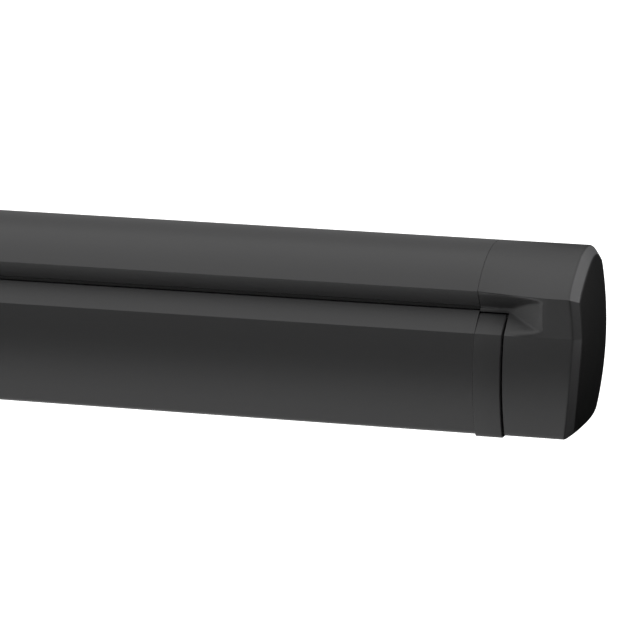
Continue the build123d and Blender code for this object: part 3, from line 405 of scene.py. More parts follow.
def straightened(inner, full, corner, width):
    """Lays out the points of a drawn-in section evenly from each side to its corner."""
    laid = list(inner)
    for way in (-1, 1):
        gone, i, near = 0.0, corner, []
        while gone < width:
            k = (i + way) % len(full)
            gone += hypot(full[k][0] - full[i][0], full[k][1] - full[i][1])
            i = k
            near.append((k, gone))
        last, span = near[-1]
        for k, gone in near:
            laid[k] = point_on(inner[corner], inner[last], gone / span)
    return laid


def kept_part(points, axis, limit, above):
    """A closed section cut off at one reach (axis 0) or height (axis 1)."""
    kept = []
    for start, end in zip(points, points[1:] + points[:1]):
        inside = (start[axis] > limit) == above
        if inside:
            kept.append(start)
        if inside != ((end[axis] > limit) == above):
            share = (limit - start[axis]) / (end[axis] - start[axis])
            kept.append(point_on(start, end, share))
    return kept


def new_object(name, data):
    """An object of the scene with its mesh, camera or lamp."""
    thing = bpy.data.objects.new(name, data)
    bpy.context.scene.collection.objects.link(thing)
    return thing


def built(name, build):
    """An object whose mesh is made by a function that fills a bmesh."""
    made = bmesh.new()
    build(made)
    mesh = bpy.data.meshes.new(name)
    made.to_mesh(mesh)
    made.free()
    return new_object(name, mesh)


def bridge(made, low, high):
    """Faces between two closed rings of vertices."""
    for i in range(len(low)):
        k = (i + 1) % len(low)
        made.faces.new((low[i], low[k], high[k], high[i]))


def solid(name, rings):
    """A closed solid from rings of points, with a face over each end."""
    def build(made):
        rows = [[made.verts.new(point) for point in ring] for ring in rings]
        made.faces.new(rows[0])
        made.faces.new(rows[-1])
        for low, high in zip(rows, rows[1:]):
            bridge(made, low, high)
        bmesh.ops.recalc_face_normals(made, faces=made.faces)

    return built(name, build)


def prism(name, section, x_from, x_to):
    """A solid cutter: a section pulled along the awning."""
    return solid(name, [[place(x, *point) for point in section] for x in (x_from, x_to)])


def upright(name, x, reach, radius, low, high, steps=ROUND_STEPS):
    """A solid round cutter that stands upright."""
    turns = [2 * pi * i / steps for i in range(steps)]
    return solid(name, [
        [place(x + radius * cos(a), reach + radius * sin(a), height) for a in turns] for height in (low, high)
    ])


def evaluated(thing):
    """The object's mesh with its modifiers applied, which are then removed."""
    bpy.context.view_layer.update()
    mesh = bpy.data.meshes.new_from_object(thing.evaluated_get(bpy.context.evaluated_depsgraph_get()))
    thing.modifiers.clear()
    mesh.name = thing.name
    thing.data = mesh
    return thing


def cut(thing, cutters, operation="DIFFERENCE"):
    """Takes each cutter away from an object, or adds it."""
    for cutter in cutters:
        step = thing.modifiers.new("Cut", "BOOLEAN")
        step.operation = operation
        step.solver = "EXACT"
        step.object = cutter
        evaluated(thing)
        bpy.data.objects.remove(cutter)


def shade_by_angle(mesh, angle):
    """Smooth faces, with the edges sharper than an angle in degrees left crisp."""
    made = bmesh.new()
    made.from_mesh(mesh)
    for face in made.faces:
        face.smooth = True
    for edge in made.edges:
        edge.smooth = len(edge.link_faces) == 2 and edge.calc_face_angle(0) < radians(angle)
    made.to_mesh(mesh)
    made.free()


def dress(thing, finish, body, *nodes, slot=None):
    """Gives a piece its finish and body, and lets it stand for CAD nodes; slot is not used."""
    thing.data.materials.clear()
    thing.data.materials.append(bpy.data.materials[finish])
    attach(thing, body)
    if nodes:
        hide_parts(*nodes)


# Nodes

def add(tree, kind, links=(), **values):
    """A node with its settings, its socket values and its links in."""
    made = tree.nodes.new(kind)
    for key, value in values.items():
        if hasattr(made, key):
            setattr(made, key, value)
        else:
            made.inputs[key.replace("_", " ")].default_value = value
    for socket, source in links:
        tree.links.new(source, made.inputs[socket])
    return made


def by_identifier(sockets, identifier):
    """The socket with an identifier, where several have the same name."""
    return next(socket for socket in sockets if socket.identifier == identifier)


def feed(tree, socket, value):
    """Sets a number on a socket, or links another socket into it."""
    if isinstance(value, (int, float)):
        socket.default_value = value
    else:
        tree.links.new(value, socket)


def maths(tree, operation, first, second=0.0):
    """A maths node; each side is a socket or a number."""
    made = add(tree, "ShaderNodeMath", operation=operation)
    feed(tree, made.inputs[0], first)
    feed(tree, made.inputs[1], second)
    return made.outputs[0]


def times(tree, first, second):
    """The product of two sockets or numbers."""
    return maths(tree, "MULTIPLY", first, second)


def mixed(tree, *parts):
    """The sum of sockets, each by its share."""
    total = None
    for socket, share in parts:
        part = times(tree, socket, share)
        total = part if total is None else maths(tree, "ADD", total, part)
    return total


def vector(tree, **parts):
    """A vector from sockets for its X, Y and Z."""
    return add(tree, "ShaderNodeCombineXYZ", list(parts.items())).outputs[0]


def toned(tree, share, low, high):
    """The colour at a share of the way from a low to a high colour."""
    mix = add(tree, "ShaderNodeMix", data_type="RGBA")
    by_identifier(mix.inputs, "A_Color").default_value = (*low, 1)
    by_identifier(mix.inputs, "B_Color").default_value = (*high, 1)
    tree.links.new(share, by_identifier(mix.inputs, "Factor_Float"))
    return by_identifier(mix.outputs, "Result_Color")


def noise(tree, where, scale, detail=2.0, stretch=(1, 1, 1)):
    """Noise on a vector, stretched along the axes; its scale is a number or a socket."""
    pulled = add(tree, "ShaderNodeMapping", [("Vector", where)], Scale=stretch)
    made = add(tree, "ShaderNodeTexNoise", [("Vector", pulled.outputs[0])], Detail=detail)
    feed(tree, made.inputs["Scale"], scale)
    return made.outputs[0]


# Shader groups: a pattern in, its shade, roughness and height out

PATTERN_OUTPUTS = ("Shade", "Roughness", "Height")
# The range that most of a noise keeps to
NOISE_LOW = 0.25
NOISE_HIGH = 0.75
# Bands woven into the canopy: the share of the pattern that each fills, and its shift in metres
CLOTH_BANDS = ((0.30, 0.0), (0.03, 0.11), (0.03, 0.19))
# Added to places along the cloth, so that they stay above zero
CLOTH_START = 10
# Height of the sewing thread over the weave, whose own height is 1
THREAD_RISE = 3.0


def shader_group(name, grain):
    """A group with a Vector and a Grain in, which are returned, and the pattern's outputs."""
    tree = bpy.data.node_groups.new(name, "ShaderNodeTree")
    tree.interface.new_socket("Grain", in_out="INPUT", socket_type="NodeSocketFloat").default_value = grain
    tree.interface.new_socket("Vector", in_out="INPUT", socket_type="NodeSocketVector")
    for title in PATTERN_OUTPUTS:
        tree.interface.new_socket(title, in_out="OUTPUT", socket_type="NodeSocketFloat")
    get = tree.nodes.new("NodeGroupInput").outputs
    return tree, get["Vector"], get["Grain"]


def given_out(tree, *sockets):
    """Links the shade, roughness and height of a group and returns the group."""
    put = tree.nodes.new("NodeGroupOutput")
    for title, socket in zip(PATTERN_OUTPUTS, sockets):
        tree.links.new(socket, put.inputs[title])
    return tree


def coat_group():
    """Powder coat: fine orange peel, with a slow drift in gloss over the length."""
    tree, where, grain = shader_group("Powder coat", 1500.0)
    peel = noise(tree, where, grain, detail=1.0)
    drift = noise(tree, where, scale=3.0, detail=3.0)
    lines = noise(tree, where, scale=260.0, stretch=(0.004, 1, 1))
    return given_out(
        tree, mixed(tree, (drift, 0.7), (lines, 0.3)), mixed(tree, (drift, 0.5), (peel, 0.5)),
        mixed(tree, (peel, 1.0), (lines, 0.5)),
    )


def moulded_group():
    """Moulded plastic: the tool's fine eroded grain, and flow marks."""
    tree, where, grain = shader_group("Moulded plastic", 2000.0)
    cells = add(tree, "ShaderNodeTexVoronoi", [("Vector", where), ("Scale", grain)], feature="SMOOTH_F1")
    grit = noise(tree, where, scale=900.0)
    flow = noise(tree, where, scale=14.0, detail=3.0, stretch=(1, 1, 3))
    return given_out(
        tree, flow, mixed(tree, (flow, 0.4), (grit, 0.6)),
        mixed(tree, (cells.outputs["Distance"], 1.0), (grit, 0.6)),
    )


def drawn_group():
    """Drawn or rolled metal: die lines along X, small pits and faint handling marks."""
    tree, where, grain = shader_group("Drawn metal", 1800.0)
    lines = noise(tree, where, grain, stretch=(0.003, 1, 1))
    marks = noise(tree, where, scale=40.0, detail=5.0, stretch=(0.4, 1, 1))
    return given_out(
        tree, mixed(tree, (lines, 0.5), (marks, 0.5)), mixed(tree, (lines, 0.6), (marks, 0.4)), lines,
    )


def cast_group():
    """Die-cast metal or zinc plate: cloudy patches over a fine sandy skin."""
    tree, where, grain = shader_group("Cast metal", 1100.0)
    skin = noise(tree, where, grain, detail=3.0)
    cloud = noise(tree, where, scale=60.0, detail=4.0)
    return given_out(tree, cloud, mixed(tree, (skin, 0.5), (cloud, 0.5)), skin)


def cloth_group():
    """Coated canopy cloth on its own map in metres: weave, woven bands and the hem's stitches."""
    s = cloth_sizes()
    tree, where, grain = shader_group("Canopy cloth", 900.0)
    across, along, _ = add(tree, "ShaderNodeSeparateXYZ", [("Vector", where)]).outputs
    waves = [maths(tree, "SINE", times(tree, way, times(tree, grain, 2 * pi))) for way in (across, along)]
    weave = maths(tree, "ADD", times(tree, times(tree, *waves), 0.5), 0.5)
    bands = None
    for part, shift in CLOTH_BANDS:
        step = maths(tree, "DIVIDE", maths(tree, "ADD", across, CLOTH_START + shift), s.band_pitch)
        band = maths(tree, "LESS_THAN", maths(tree, "FRACT", step), part)
        bands = band if bands is None else maths(tree, "MAXIMUM", bands, band)
    slack = noise(tree, where, scale=8.0, detail=3.0)
    dash = maths(tree, "FRACT", maths(tree, "DIVIDE", across, s.stitch_pitch))
    dash = maths(tree, "LESS_THAN", dash, s.stitch / s.stitch_pitch)
    for row in (s.seam, s.seam - s.seam_gap):
        away = maths(tree, "ABSOLUTE", maths(tree, "SUBTRACT", along, row))
        thread = times(tree, maths(tree, "LESS_THAN", away, s.thread), dash)
        weave = maths(tree, "ADD", weave, times(tree, thread, THREAD_RISE))
        bands = maths(tree, "MAXIMUM", bands, thread)
    return given_out(tree, bands, mixed(tree, (weave, 0.5), (slack, 0.5)), weave)


def make_finish(
    name, group, low, high, rough, spread, depth,
    metallic=0.0, grain=None, specular=0.5, uv=False, with_painted_light=False,
):
    """A material from a group: low and high colours by its shade, roughness and bump by the rest.

    The roughness keeps within its spread, and the bump has its depth in metres. A finish reads
    Object coordinates or the piece's own map, and one with painted light scales its colour by
    the piece's tint attribute: a painted highlight above zero, painted shade below it.
    """
    made = bpy.data.materials.get(name) or bpy.data.materials.new(name)
    made.use_nodes = True
    tree = made.node_tree
    tree.nodes.clear()
    shader = add(tree, "ShaderNodeBsdfPrincipled", Metallic=metallic, Specular_IOR_Level=specular)
    add(tree, "ShaderNodeOutputMaterial", [("Surface", shader.outputs[0])])
    where = tree.nodes.new("ShaderNodeTexCoord").outputs["UV" if uv else "Object"]
    effect = add(tree, "ShaderNodeGroup", node_tree=group)
    tree.links.new(where, effect.inputs["Vector"])
    if grain:
        effect.inputs["Grain"].default_value = grain
    shade, roughness, height = (effect.outputs[title] for title in PATTERN_OUTPUTS)
    base = toned(tree, shade, low, high)
    # Painted light: the colour is scaled by the piece's painted highlight and painted shade
    if with_painted_light:
        tint = add(tree, "ShaderNodeAttribute", attribute_name="tint").outputs["Fac"]
        links = [("Vector", base), ("Scale", maths(tree, "ADD", tint, 1.0))]
        base = add(tree, "ShaderNodeVectorMath", links, operation="SCALE").outputs[0]
    spot = add(
        tree, "ShaderNodeMapRange", [("Value", roughness)], From_Min=NOISE_LOW, From_Max=NOISE_HIGH,
        To_Min=rough - spread, To_Max=rough + spread,
    )
    bump = add(tree, "ShaderNodeBump", [("Height", height)], Distance=depth)
    for title, socket in (("Base Color", base), ("Roughness", spot.outputs[0]), ("Normal", bump.outputs[0])):
        tree.links.new(socket, shader.inputs[title])


def tone(base, factor):
    """A colour made darker or paler."""
    return tuple(min(1.0, part * factor) for part in base)


# End covers

# Points on each part of a cover's section, and the numbers of its corners
ROOF_POINTS = 34
BROW_POINTS = 40
BAND_POINTS = 72
FRONT_POINTS = 70
UNDER_POINTS = 36
BACK_POINTS = 40
NOSE = ROOF_POINTS + BROW_POINTS
EDGE = NOSE + BAND_POINTS
FOOT = EDGE + FRONT_POINTS
HEEL = FOOT + UNDER_POINTS
# From one section of a cover to the next, and from the seam to the last one
COVER_STEP = 0.00065
PLAIN_END = 0.05
# Sections of the rounded seam: distance from the seam and depth, as shares of its rounding
SEAM_ROUNDING = ((0.0, 1.0), (0.35, 0.3))
# Further rings, as shares of the run from that section to the bevel
SIDE_SHARES = (0.35, 0.7, 0.88)
# Rings across the bevel, as shares of its width
BEVEL_SHARES = (0.08, 0.3, 0.5, 0.7, 0.92)
# Rings of the domed face, as shares of the way from its middle to the bevel
DOME_SHARES = (0.99, 0.97, 0.93, 0.87, 0.8, 0.72, 0.64, 0.56, 0.48, 0.4, 0.32, 0.24, 0.16, 0.08)
# The last short step before the outer line of the bevel
BEVEL_LEAD = 0.0004
# Widths beside each corner over which the inner outline of the bevel is laid out evenly
EVEN_WIDTHS = ((0, 0.014), (NOSE, 0.005), (EDGE, 0.004), (FOOT, 0.014), (HEEL, 0.012))
# How sharply the brow's own width of bevel fades towards the nose
BROW_FADE = 3
# How fast the bevel's outer line comes out again along the roof
ROOF_FALL = 1.6
# How far the groove's upper edge comes down at its end, as a share of the lower edge's climb
RIM_DROP = 0.6
# Painted shade: how much darker the foot of the domed face is painted than its top
END_PAINTED_SHADE = 0.75
# Height at which that painted shade starts, as a share of the roof's height
END_PAINTED_SHADE_TOP = 1.1
# Rounds of easing over the grid
EASING_ROUNDS = 2
# Inside the case: from the groove's valley to its lip, and from the lead bar to the lip
LIP_DEPTH = 0.001
BAR_TOP_GAP = 0.0028
# How far the cutter of the bar's passage reaches, as a share of the bar's reach
PAST_FRONT = 1.2
# Points on each arc of the sections that the rooms are cut with
ROOM_SHARES = [i / 16 for i in range(16)]
# Height at which the wall of the crank well starts
TOWER_FOOT = 0.0002
# Points round the hole for the winch shaft
SHAFT_STEPS = 40
# Edges sharper than this stay crisp, in degrees
COVER_CRISP = 32
CAP_CRISP = 34


def eased_max(a, b, width):
    """The larger of two values, with a soft change from one to the other."""
    overlap = max(width - abs(a - b), 0) / width
    return max(a, b) + overlap * overlap * width / 4


def groove_reach(x, height, nose, edge):
    """Reach of the cover's front between its two creases: flat, with the groove let into it."""
    c, e, b = case(), cover_sizes(), bar()
    share = (height - b.edge_height) / (c.nose_height - b.edge_height)
    full = edge + (nose - edge) * share
    if x > e.rim:
        return full
    ahead = min(1.0, max(0.0, (x - e.hip) / (e.rim - e.hip)))
    top = c.nose_height - e.rim_rise * RIM_DROP * ahead
    foot = b.edge_height + e.rim_rise * ahead
    upper = e.valley_reach + (height - e.valley_height) * (nose - e.valley_reach) / (top - e.valley_height)
    lower = e.valley_reach + (e.valley_height - height) * (edge - e.valley_reach) / (e.valley_height - foot)
    rim = e.rim
    for past in (foot + e.rim_corner - height, height - top + e.rim_corner):
        if past > 0:
            bend = sqrt(max(0.0, e.rim_corner**2 - min(past, e.rim_corner) ** 2))
            rim = min(rim, e.rim - e.rim_corner + bend)
    slope = (full - e.valley_reach) / (e.rim - e.hip)
    end = full - slope * (rim - x)
    width = 2 * e.fillet
    groove = eased_max(eased_max(upper, lower, width), end, width)
    return -eased_max(-full, -groove, width)


def cover_section(x):
    """The cover's outside at one place past the seam."""
    c, e, b = case(), cover_sizes(), bar()
    if x < e.hip:
        nose = c.nose_reach + (e.hip_nose - c.nose_reach) * x / e.hip
        edge = b.edge_reach
    else:
        share = min(1.0, (x - e.hip) / (e.flush - e.hip))
        nose = e.hip_nose + (e.flush_nose - e.hip_nose) * share
        edge = b.edge_reach + (e.flush_edge - b.edge_reach) * share
    points = roof_and_brow((nose, c.nose_height), eased(ROOF_POINTS), eased(BROW_POINTS, first=False))
    for i in range(BAND_POINTS):
        height = c.nose_height + (b.edge_height - c.nose_height) * (i / BAND_POINTS)
        points.append((groove_reach(x, height, nose, edge), height))
    points += bar_front(edge, eased(FRONT_POINTS))
    points += line((b.foot_reach, 0), (c.wall_gap, 0), eased(UNDER_POINTS))
    points += line((c.wall_gap, 0), (c.wall_gap, c.back_height), eased(BACK_POINTS))
    return points


def cover_walls(width, under):
    """The wall to draw each side of a cover section in by; the back stays as it is."""
    return [width] * FOOT + [under] * UNDER_POINTS + [0.0] * BACK_POINTS


def bevel_shape(full):
    """The bevel's inner outline, and how far each point of its outer line stands back."""
    e = cover_sizes()
    walls = cover_walls(e.bevel, e.under_bevel)
    rises = [e.bevel_rise] * HEEL + [e.back_rise] * BACK_POINTS
    for i in range(NOSE):
        share = 1 - max(0.0, (i - ROOF_POINTS) / BROW_POINTS) ** BROW_FADE
        walls[i] += (e.brow_bevel - e.bevel) * share
        rises[i] += (e.brow_rise - e.bevel_rise) * share * (1 - ROOF_FALL * max(0.0, 1 - i / ROOF_POINTS))
    inner = drawn_in(full, walls)
    for corner, width in EVEN_WIDTHS:
        inner = straightened(inner, full, corner, width)
    return rounded(rounded(inner, FOOT, bar().foot_corner), 0, e.back_corner), rises


def dome_at(point):
    """How far past the seam the domed face is, at a reach and a height."""
    e = cover_sizes()
    ball = e.end - e.dome_radius - case().seam
    return ball + sqrt(e.dome_radius**2 - (point[0] - e.dome_reach) ** 2 - (point[1] - e.dome_height) ** 2)


def smoothed(grid, columns):
    """Eases a grid of points along each row, at the given columns."""
    for _ in range(EASING_ROUNDS):
        for row in grid:
            was = list(row)
            for k in columns:
                row[k] = (was[k - 1] + 2 * was[k] + was[(k + 1) % len(was)]) / 4


def cover_rings():
    """The cover's rings of points, and the numbers of the bevel's outer and inner rings."""
    e, b = cover_sizes(), bar()
    count = ceil((PLAIN_END - e.seam_edge) / COVER_STEP)
    places = [e.seam_edge * share for share, depth in SEAM_ROUNDING] + [e.seam_edge]
    places += [e.seam_edge + (PLAIN_END - e.seam_edge) * (i + 1) / count for i in range(count)]
    sections = [cover_section(x) for x in places]
    inner, rises = bevel_shape(sections[-1])
    for i, (share, depth) in enumerate(SEAM_ROUNDING):
        sections[i] = drawn_in(sections[i], cover_walls(e.seam_edge * depth, e.seam_edge * depth))
    sections = [rounded(section, FOOT, b.foot_corner) for section in sections]
    full = rounded(sections[-1], 0, e.back_corner)
    rows = []
    for i, (point, inset) in enumerate(zip(full, inner)):
        row = [Vector((x, *section[i])) for x, section in zip(places, sections)]
        start = Vector((dome_at(point) - rises[i], *point))
        end = Vector((dome_at(inset), *inset))
        run = start - row[-1]
        row += [row[-1] + run * share for share in SIDE_SHARES]
        row += [start - run.normalized() * BEVEL_LEAD, start]
        row += [start.lerp(end, share) for share in BEVEL_SHARES]
        row.append(end)
        for spot in line((e.dome_reach, e.dome_height), inset, DOME_SHARES):
            row.append(Vector((dome_at(spot), *spot)))
        rows.append(row)
    outer = len(places) + len(SIDE_SHARES) + 1
    rim = outer + len(BEVEL_SHARES) + 1
    smoothed(rows, range(outer - 1, rim + 2))
    rings = [list(ring) for ring in zip(*rows)]
    smoothed(rings, range(len(rows)))
    return rings, outer, rim


def cover_mesh(made, side):
    """The cover's solid outside form as one closed grid: wall, bevel and domed end."""
    c, e = case(), cover_sizes()
    grid, outer, rim = cover_rings()
    # tint scales the cover's colour: a painted highlight on the bevel and painted shade on the domed face
    tint = made.verts.layers.float.new("tint")
    rings = []
    for k, ring in enumerate(grid):
        rings.append([made.verts.new(place(side * (c.seam + p.x), p.y, p.z)) for p in ring])
        for i, (vert, p) in enumerate(zip(rings[-1], ring)):
            # Painted highlight on the bevel's rings, paler at the brow
            if outer < k < rim:
                vert[tint] = e.brow_painted_highlight if i < NOSE else e.bevel_painted_highlight
            # Painted shade on the domed face, darker towards its foot
            elif k >= rim:
                shade = END_PAINTED_SHADE * min(1.0, max(0.0, END_PAINTED_SHADE_TOP - p.z / c.roof_height))
                vert[tint] = e.end_painted_shade - (1 + e.end_painted_shade) * shade
    for low, high in zip(rings, rings[1:]):
        bridge(made, low, high)
    made.faces.new(rings[0])
    middle = (e.dome_reach, e.dome_height)
    pole = made.verts.new(place(side * (c.seam + dome_at(middle)), *middle))
    pole[tint] = rings[-1][0][tint]
    for i, vert in enumerate(rings[-1]):
        made.faces.new((vert, rings[-1][(i + 1) % len(rings[-1])], pole))
    bmesh.ops.recalc_face_normals(made, faces=made.faces)


def bar_section():
    """The outside of the lead bar."""
    b = bar()
    points = bar_front(b.edge_reach, ROOM_SHARES)
    points += [(b.foot_reach, 0), (b.back_reach, 0), (b.back_reach, b.step_height)]
    points += [(b.neck_reach, b.neck_height), (b.neck_reach, b.top), (b.top_reach, b.top)]
    return points


def case_section():
    """The outside of the case with its front closed, under the nose too."""
    c, b = case(), bar()
    lip = cover_sizes().valley_reach + LIP_DEPTH
    points = roof_and_brow((c.nose_reach, c.nose_height), ROOM_SHARES, ROOM_SHARES)
    points += [(c.nose_reach, c.nose_height), (lip, b.top + BAR_TOP_GAP), (lip, 0), (c.wall_gap, 0)]
    return points


def room_cutters(side):
    """What is taken out of a cover: the rooms round the end plate and the bar's passage."""
    c, e, b = case(), cover_sizes(), bar()
    room = drawn_in(case_section(), e.wall)
    passage = b.back_reach - e.passage_gap
    near, far = c.seam - e.wall, c.seam + e.passage_width + e.wall
    end = c.length - e.end_wall
    wide = b.front_reach * PAST_FRONT
    box = [(passage, -e.wall), (wide, -e.wall), (wide, e.passage_top), (passage, e.passage_top)]
    cutters = (
        (kept_part(room, 0, passage - e.wall, False), near, far),
        (kept_part(room, 1, e.passage_top + e.wall, True), near, far),
        (room, far, end),
        (drawn_in(bar_section(), e.wall), far, end),
        (box, near, c.seam + e.passage_width),
    )
    return [
        prism(f"room{i}", section, side * low, side * high) for i, (section, low, high) in enumerate(cutters)
    ]


class AWNING_OT_end_covers(bpy.types.Operator):
    """Moulded end covers with the groove that runs out into a rounded scoop, and the crank well"""

    bl_idname = "awning.end_covers"
    bl_label = "End covers"

    def execute(self, context):
        c, e = case(), cover_sizes()
        for side, hand in SIDES:
            cover = built(f"moulded_end_cover_{hand}", lambda made: cover_mesh(made, side))
            cut(cover, room_cutters(side))
            if side < 0:
                axis = (-(c.seam + e.well_offset), e.well_reach)
                tower_top = e.well_height + e.well_wall
                tower = upright("tower", *axis, e.well_radius + e.well_wall, TOWER_FOOT, tower_top)
                cut(cover, [tower], "UNION")
                bore = upright("bore", *axis, e.well_radius, -e.wall, e.well_height)
                hole = upright("hole", *axis, e.shaft_radius, e.wall, 2 * e.well_height, SHAFT_STEPS)
                cut(cover, [bore, hole])
            shade_by_angle(cover.data, COVER_CRISP)
            dress(cover, "cover_plastic", "case", f"end_cover_{hand}")
        return {"FINISHED"}


# Lead bar caps

# Points on a cap's front, and on each of its other sides
CAP_FRONT_POINTS = 48
CAP_SIDE_POINTS = 20
# Rings across each of its rounded edges
CAP_RINGS = 6
# Rounding of each corner from the foot on, as a share of the rounding of the cap's edge
CAP_CORNERS = (2.9, 1.0, 0.5, 0.5, 0.6, 1.0)


class AWNING_OT_bar_caps(bpy.types.Operator):
    """Moulded caps of the lead bar, rounded where they meet the bar and the end covers"""

    bl_idname = "awning.bar_caps"
    bl_label = "Lead bar caps"

    def execute(self, context):
        c = case()
        rings = self.rings()
        for side, hand in SIDES:
            name = f"lead_bar_cap_{hand}"
            cap = solid(f"moulded_{name}", [
                [place(side * (c.seam + x), *point) for point in section] for x, section in rings
            ])
            shade_by_angle(cap.data, CAP_CRISP)
            dress(cap, "cover_plastic", "front_bar", name)
        return {"FINISHED"}

    def outline(self):
        """The outside of a cap, a little lower than the bar, and the numbers of its corners."""
        b = bar()
        corners = [
            (b.foot_reach, -b.cap_drop), (b.back_reach, -b.cap_drop), (b.back_reach, b.step_height),
            (b.neck_reach, b.neck_height), (b.neck_reach, b.cap_top), (b.top_reach, b.cap_top),
        ]
        points = bar_front(b.edge_reach, eased(CAP_FRONT_POINTS), b.cap_drop)
        turns = []
        for start, end in zip(corners, corners[1:] + [(b.edge_reach, b.edge_height)]):
            turns.append(len(points))
            points += line(start, end, eased(CAP_SIDE_POINTS))
        return points, turns

    def rings(self):
        """Sections of a cap with their places past the seam: a rounded edge at each end."""
        b = bar()
        outline, turns = self.outline()
        rings = []
        for radius, start, way in ((cover_sizes().seam_edge, 0.0, 1), (b.cap_edge, b.cap_width, -1)):
            ends = []
            for i in range(CAP_RINGS):
                angle = pi / 2 * i / (CAP_RINGS - 1)
                ring = drawn_in(outline, radius * (1 - sin(angle)))
                for corner, share in zip(turns, CAP_CORNERS):
                    ring = rounded(ring, corner, b.cap_edge * share)
                ends.append((start + way * radius * (1 - cos(angle)), ring))
            rings += ends if way > 0 else list(reversed(ends))
        return rings


# Geometry Nodes

def geometry_tree(name, *sockets):
    """A Geometry Nodes tree with inputs, each given as a kind and its titles, and a geometry out."""
    tree = bpy.data.node_groups.new(name, "GeometryNodeTree")
    for kind, *titles in sockets:
        for title in titles:
            tree.interface.new_socket(title, in_out="INPUT", socket_type=f"NodeSocket{kind}")
    tree.interface.new_socket("Geometry", in_out="OUTPUT", socket_type="NodeSocketGeometry")
    return tree, tree.nodes.new("NodeGroupInput").outputs


def given_back(tree, geometry):
    """Links the geometry that a tree gives and returns the tree."""
    tree.links.new(geometry, tree.nodes.new("NodeGroupOutput").inputs["Geometry"])
    return tree


def given_back_real(tree, geometry, material):
    """Ends a tree with real geometry in a material."""
    real = add(tree, "GeometryNodeRealizeInstances", [("Geometry", geometry)])
    finish = add(tree, "GeometryNodeSetMaterial", [("Geometry", real.outputs[0]), ("Material", material)])
    return given_back(tree, finish.outputs[0])


def position(tree):
    """The X, Y and Z of each point."""
    where = tree.nodes.new("GeometryNodeInputPosition")
    return add(tree, "ShaderNodeSeparateXYZ", [("Vector", where.outputs[0])]).outputs


def nodes_step(thing, name, tree, values):
    """Adds a Geometry Nodes modifier and sets its inputs by the identifiers of their sockets."""
    step = thing.modifiers.new(name, "NODES")
    step.node_group = tree
    for item in tree.interface.items_tree:
        if item.in_out == "INPUT" and item.name in values:
            step[item.identifier] = values[item.name]


def grown(name, tree, values, host=None):
    """An object made by a Geometry Nodes tree, as a plain mesh."""
    thing = new_object(name, host or bpy.data.meshes.new(name))
    nodes_step(thing, "Grow", tree, values)
    return evaluated(thing)


# Screws

# Points of a screw's head from its rim to its middle, and round it
HEAD_PROFILE = 13
HEAD_STEPS = 33
# The upright side of the head, as a share of those points and of the head's height
SKIRT = 0.25
SKIRT_RISE = 0.4
# Doubles closer than this are merged, where the head closes
SEAL = 0.000002
# Points round the shank, and round the thin base under the head
SHANK_STEPS = 24
BASE_STEPS = 32
BASE_DEPTH = 0.0001
# Width of a cross recess's arm, as a share of its length
CROSS_ARM = 0.22
# Height and middle of what cuts the recess, as shares of the head's height
CUTTER_HEIGHT = 1.2
CUTTER_MIDDLE = 1.05
# Seed of the screws' turns
SCREW_SEED = 5
# Edges of a screw sharper than this stay crisp, in degrees
SCREW_CRISP = 32


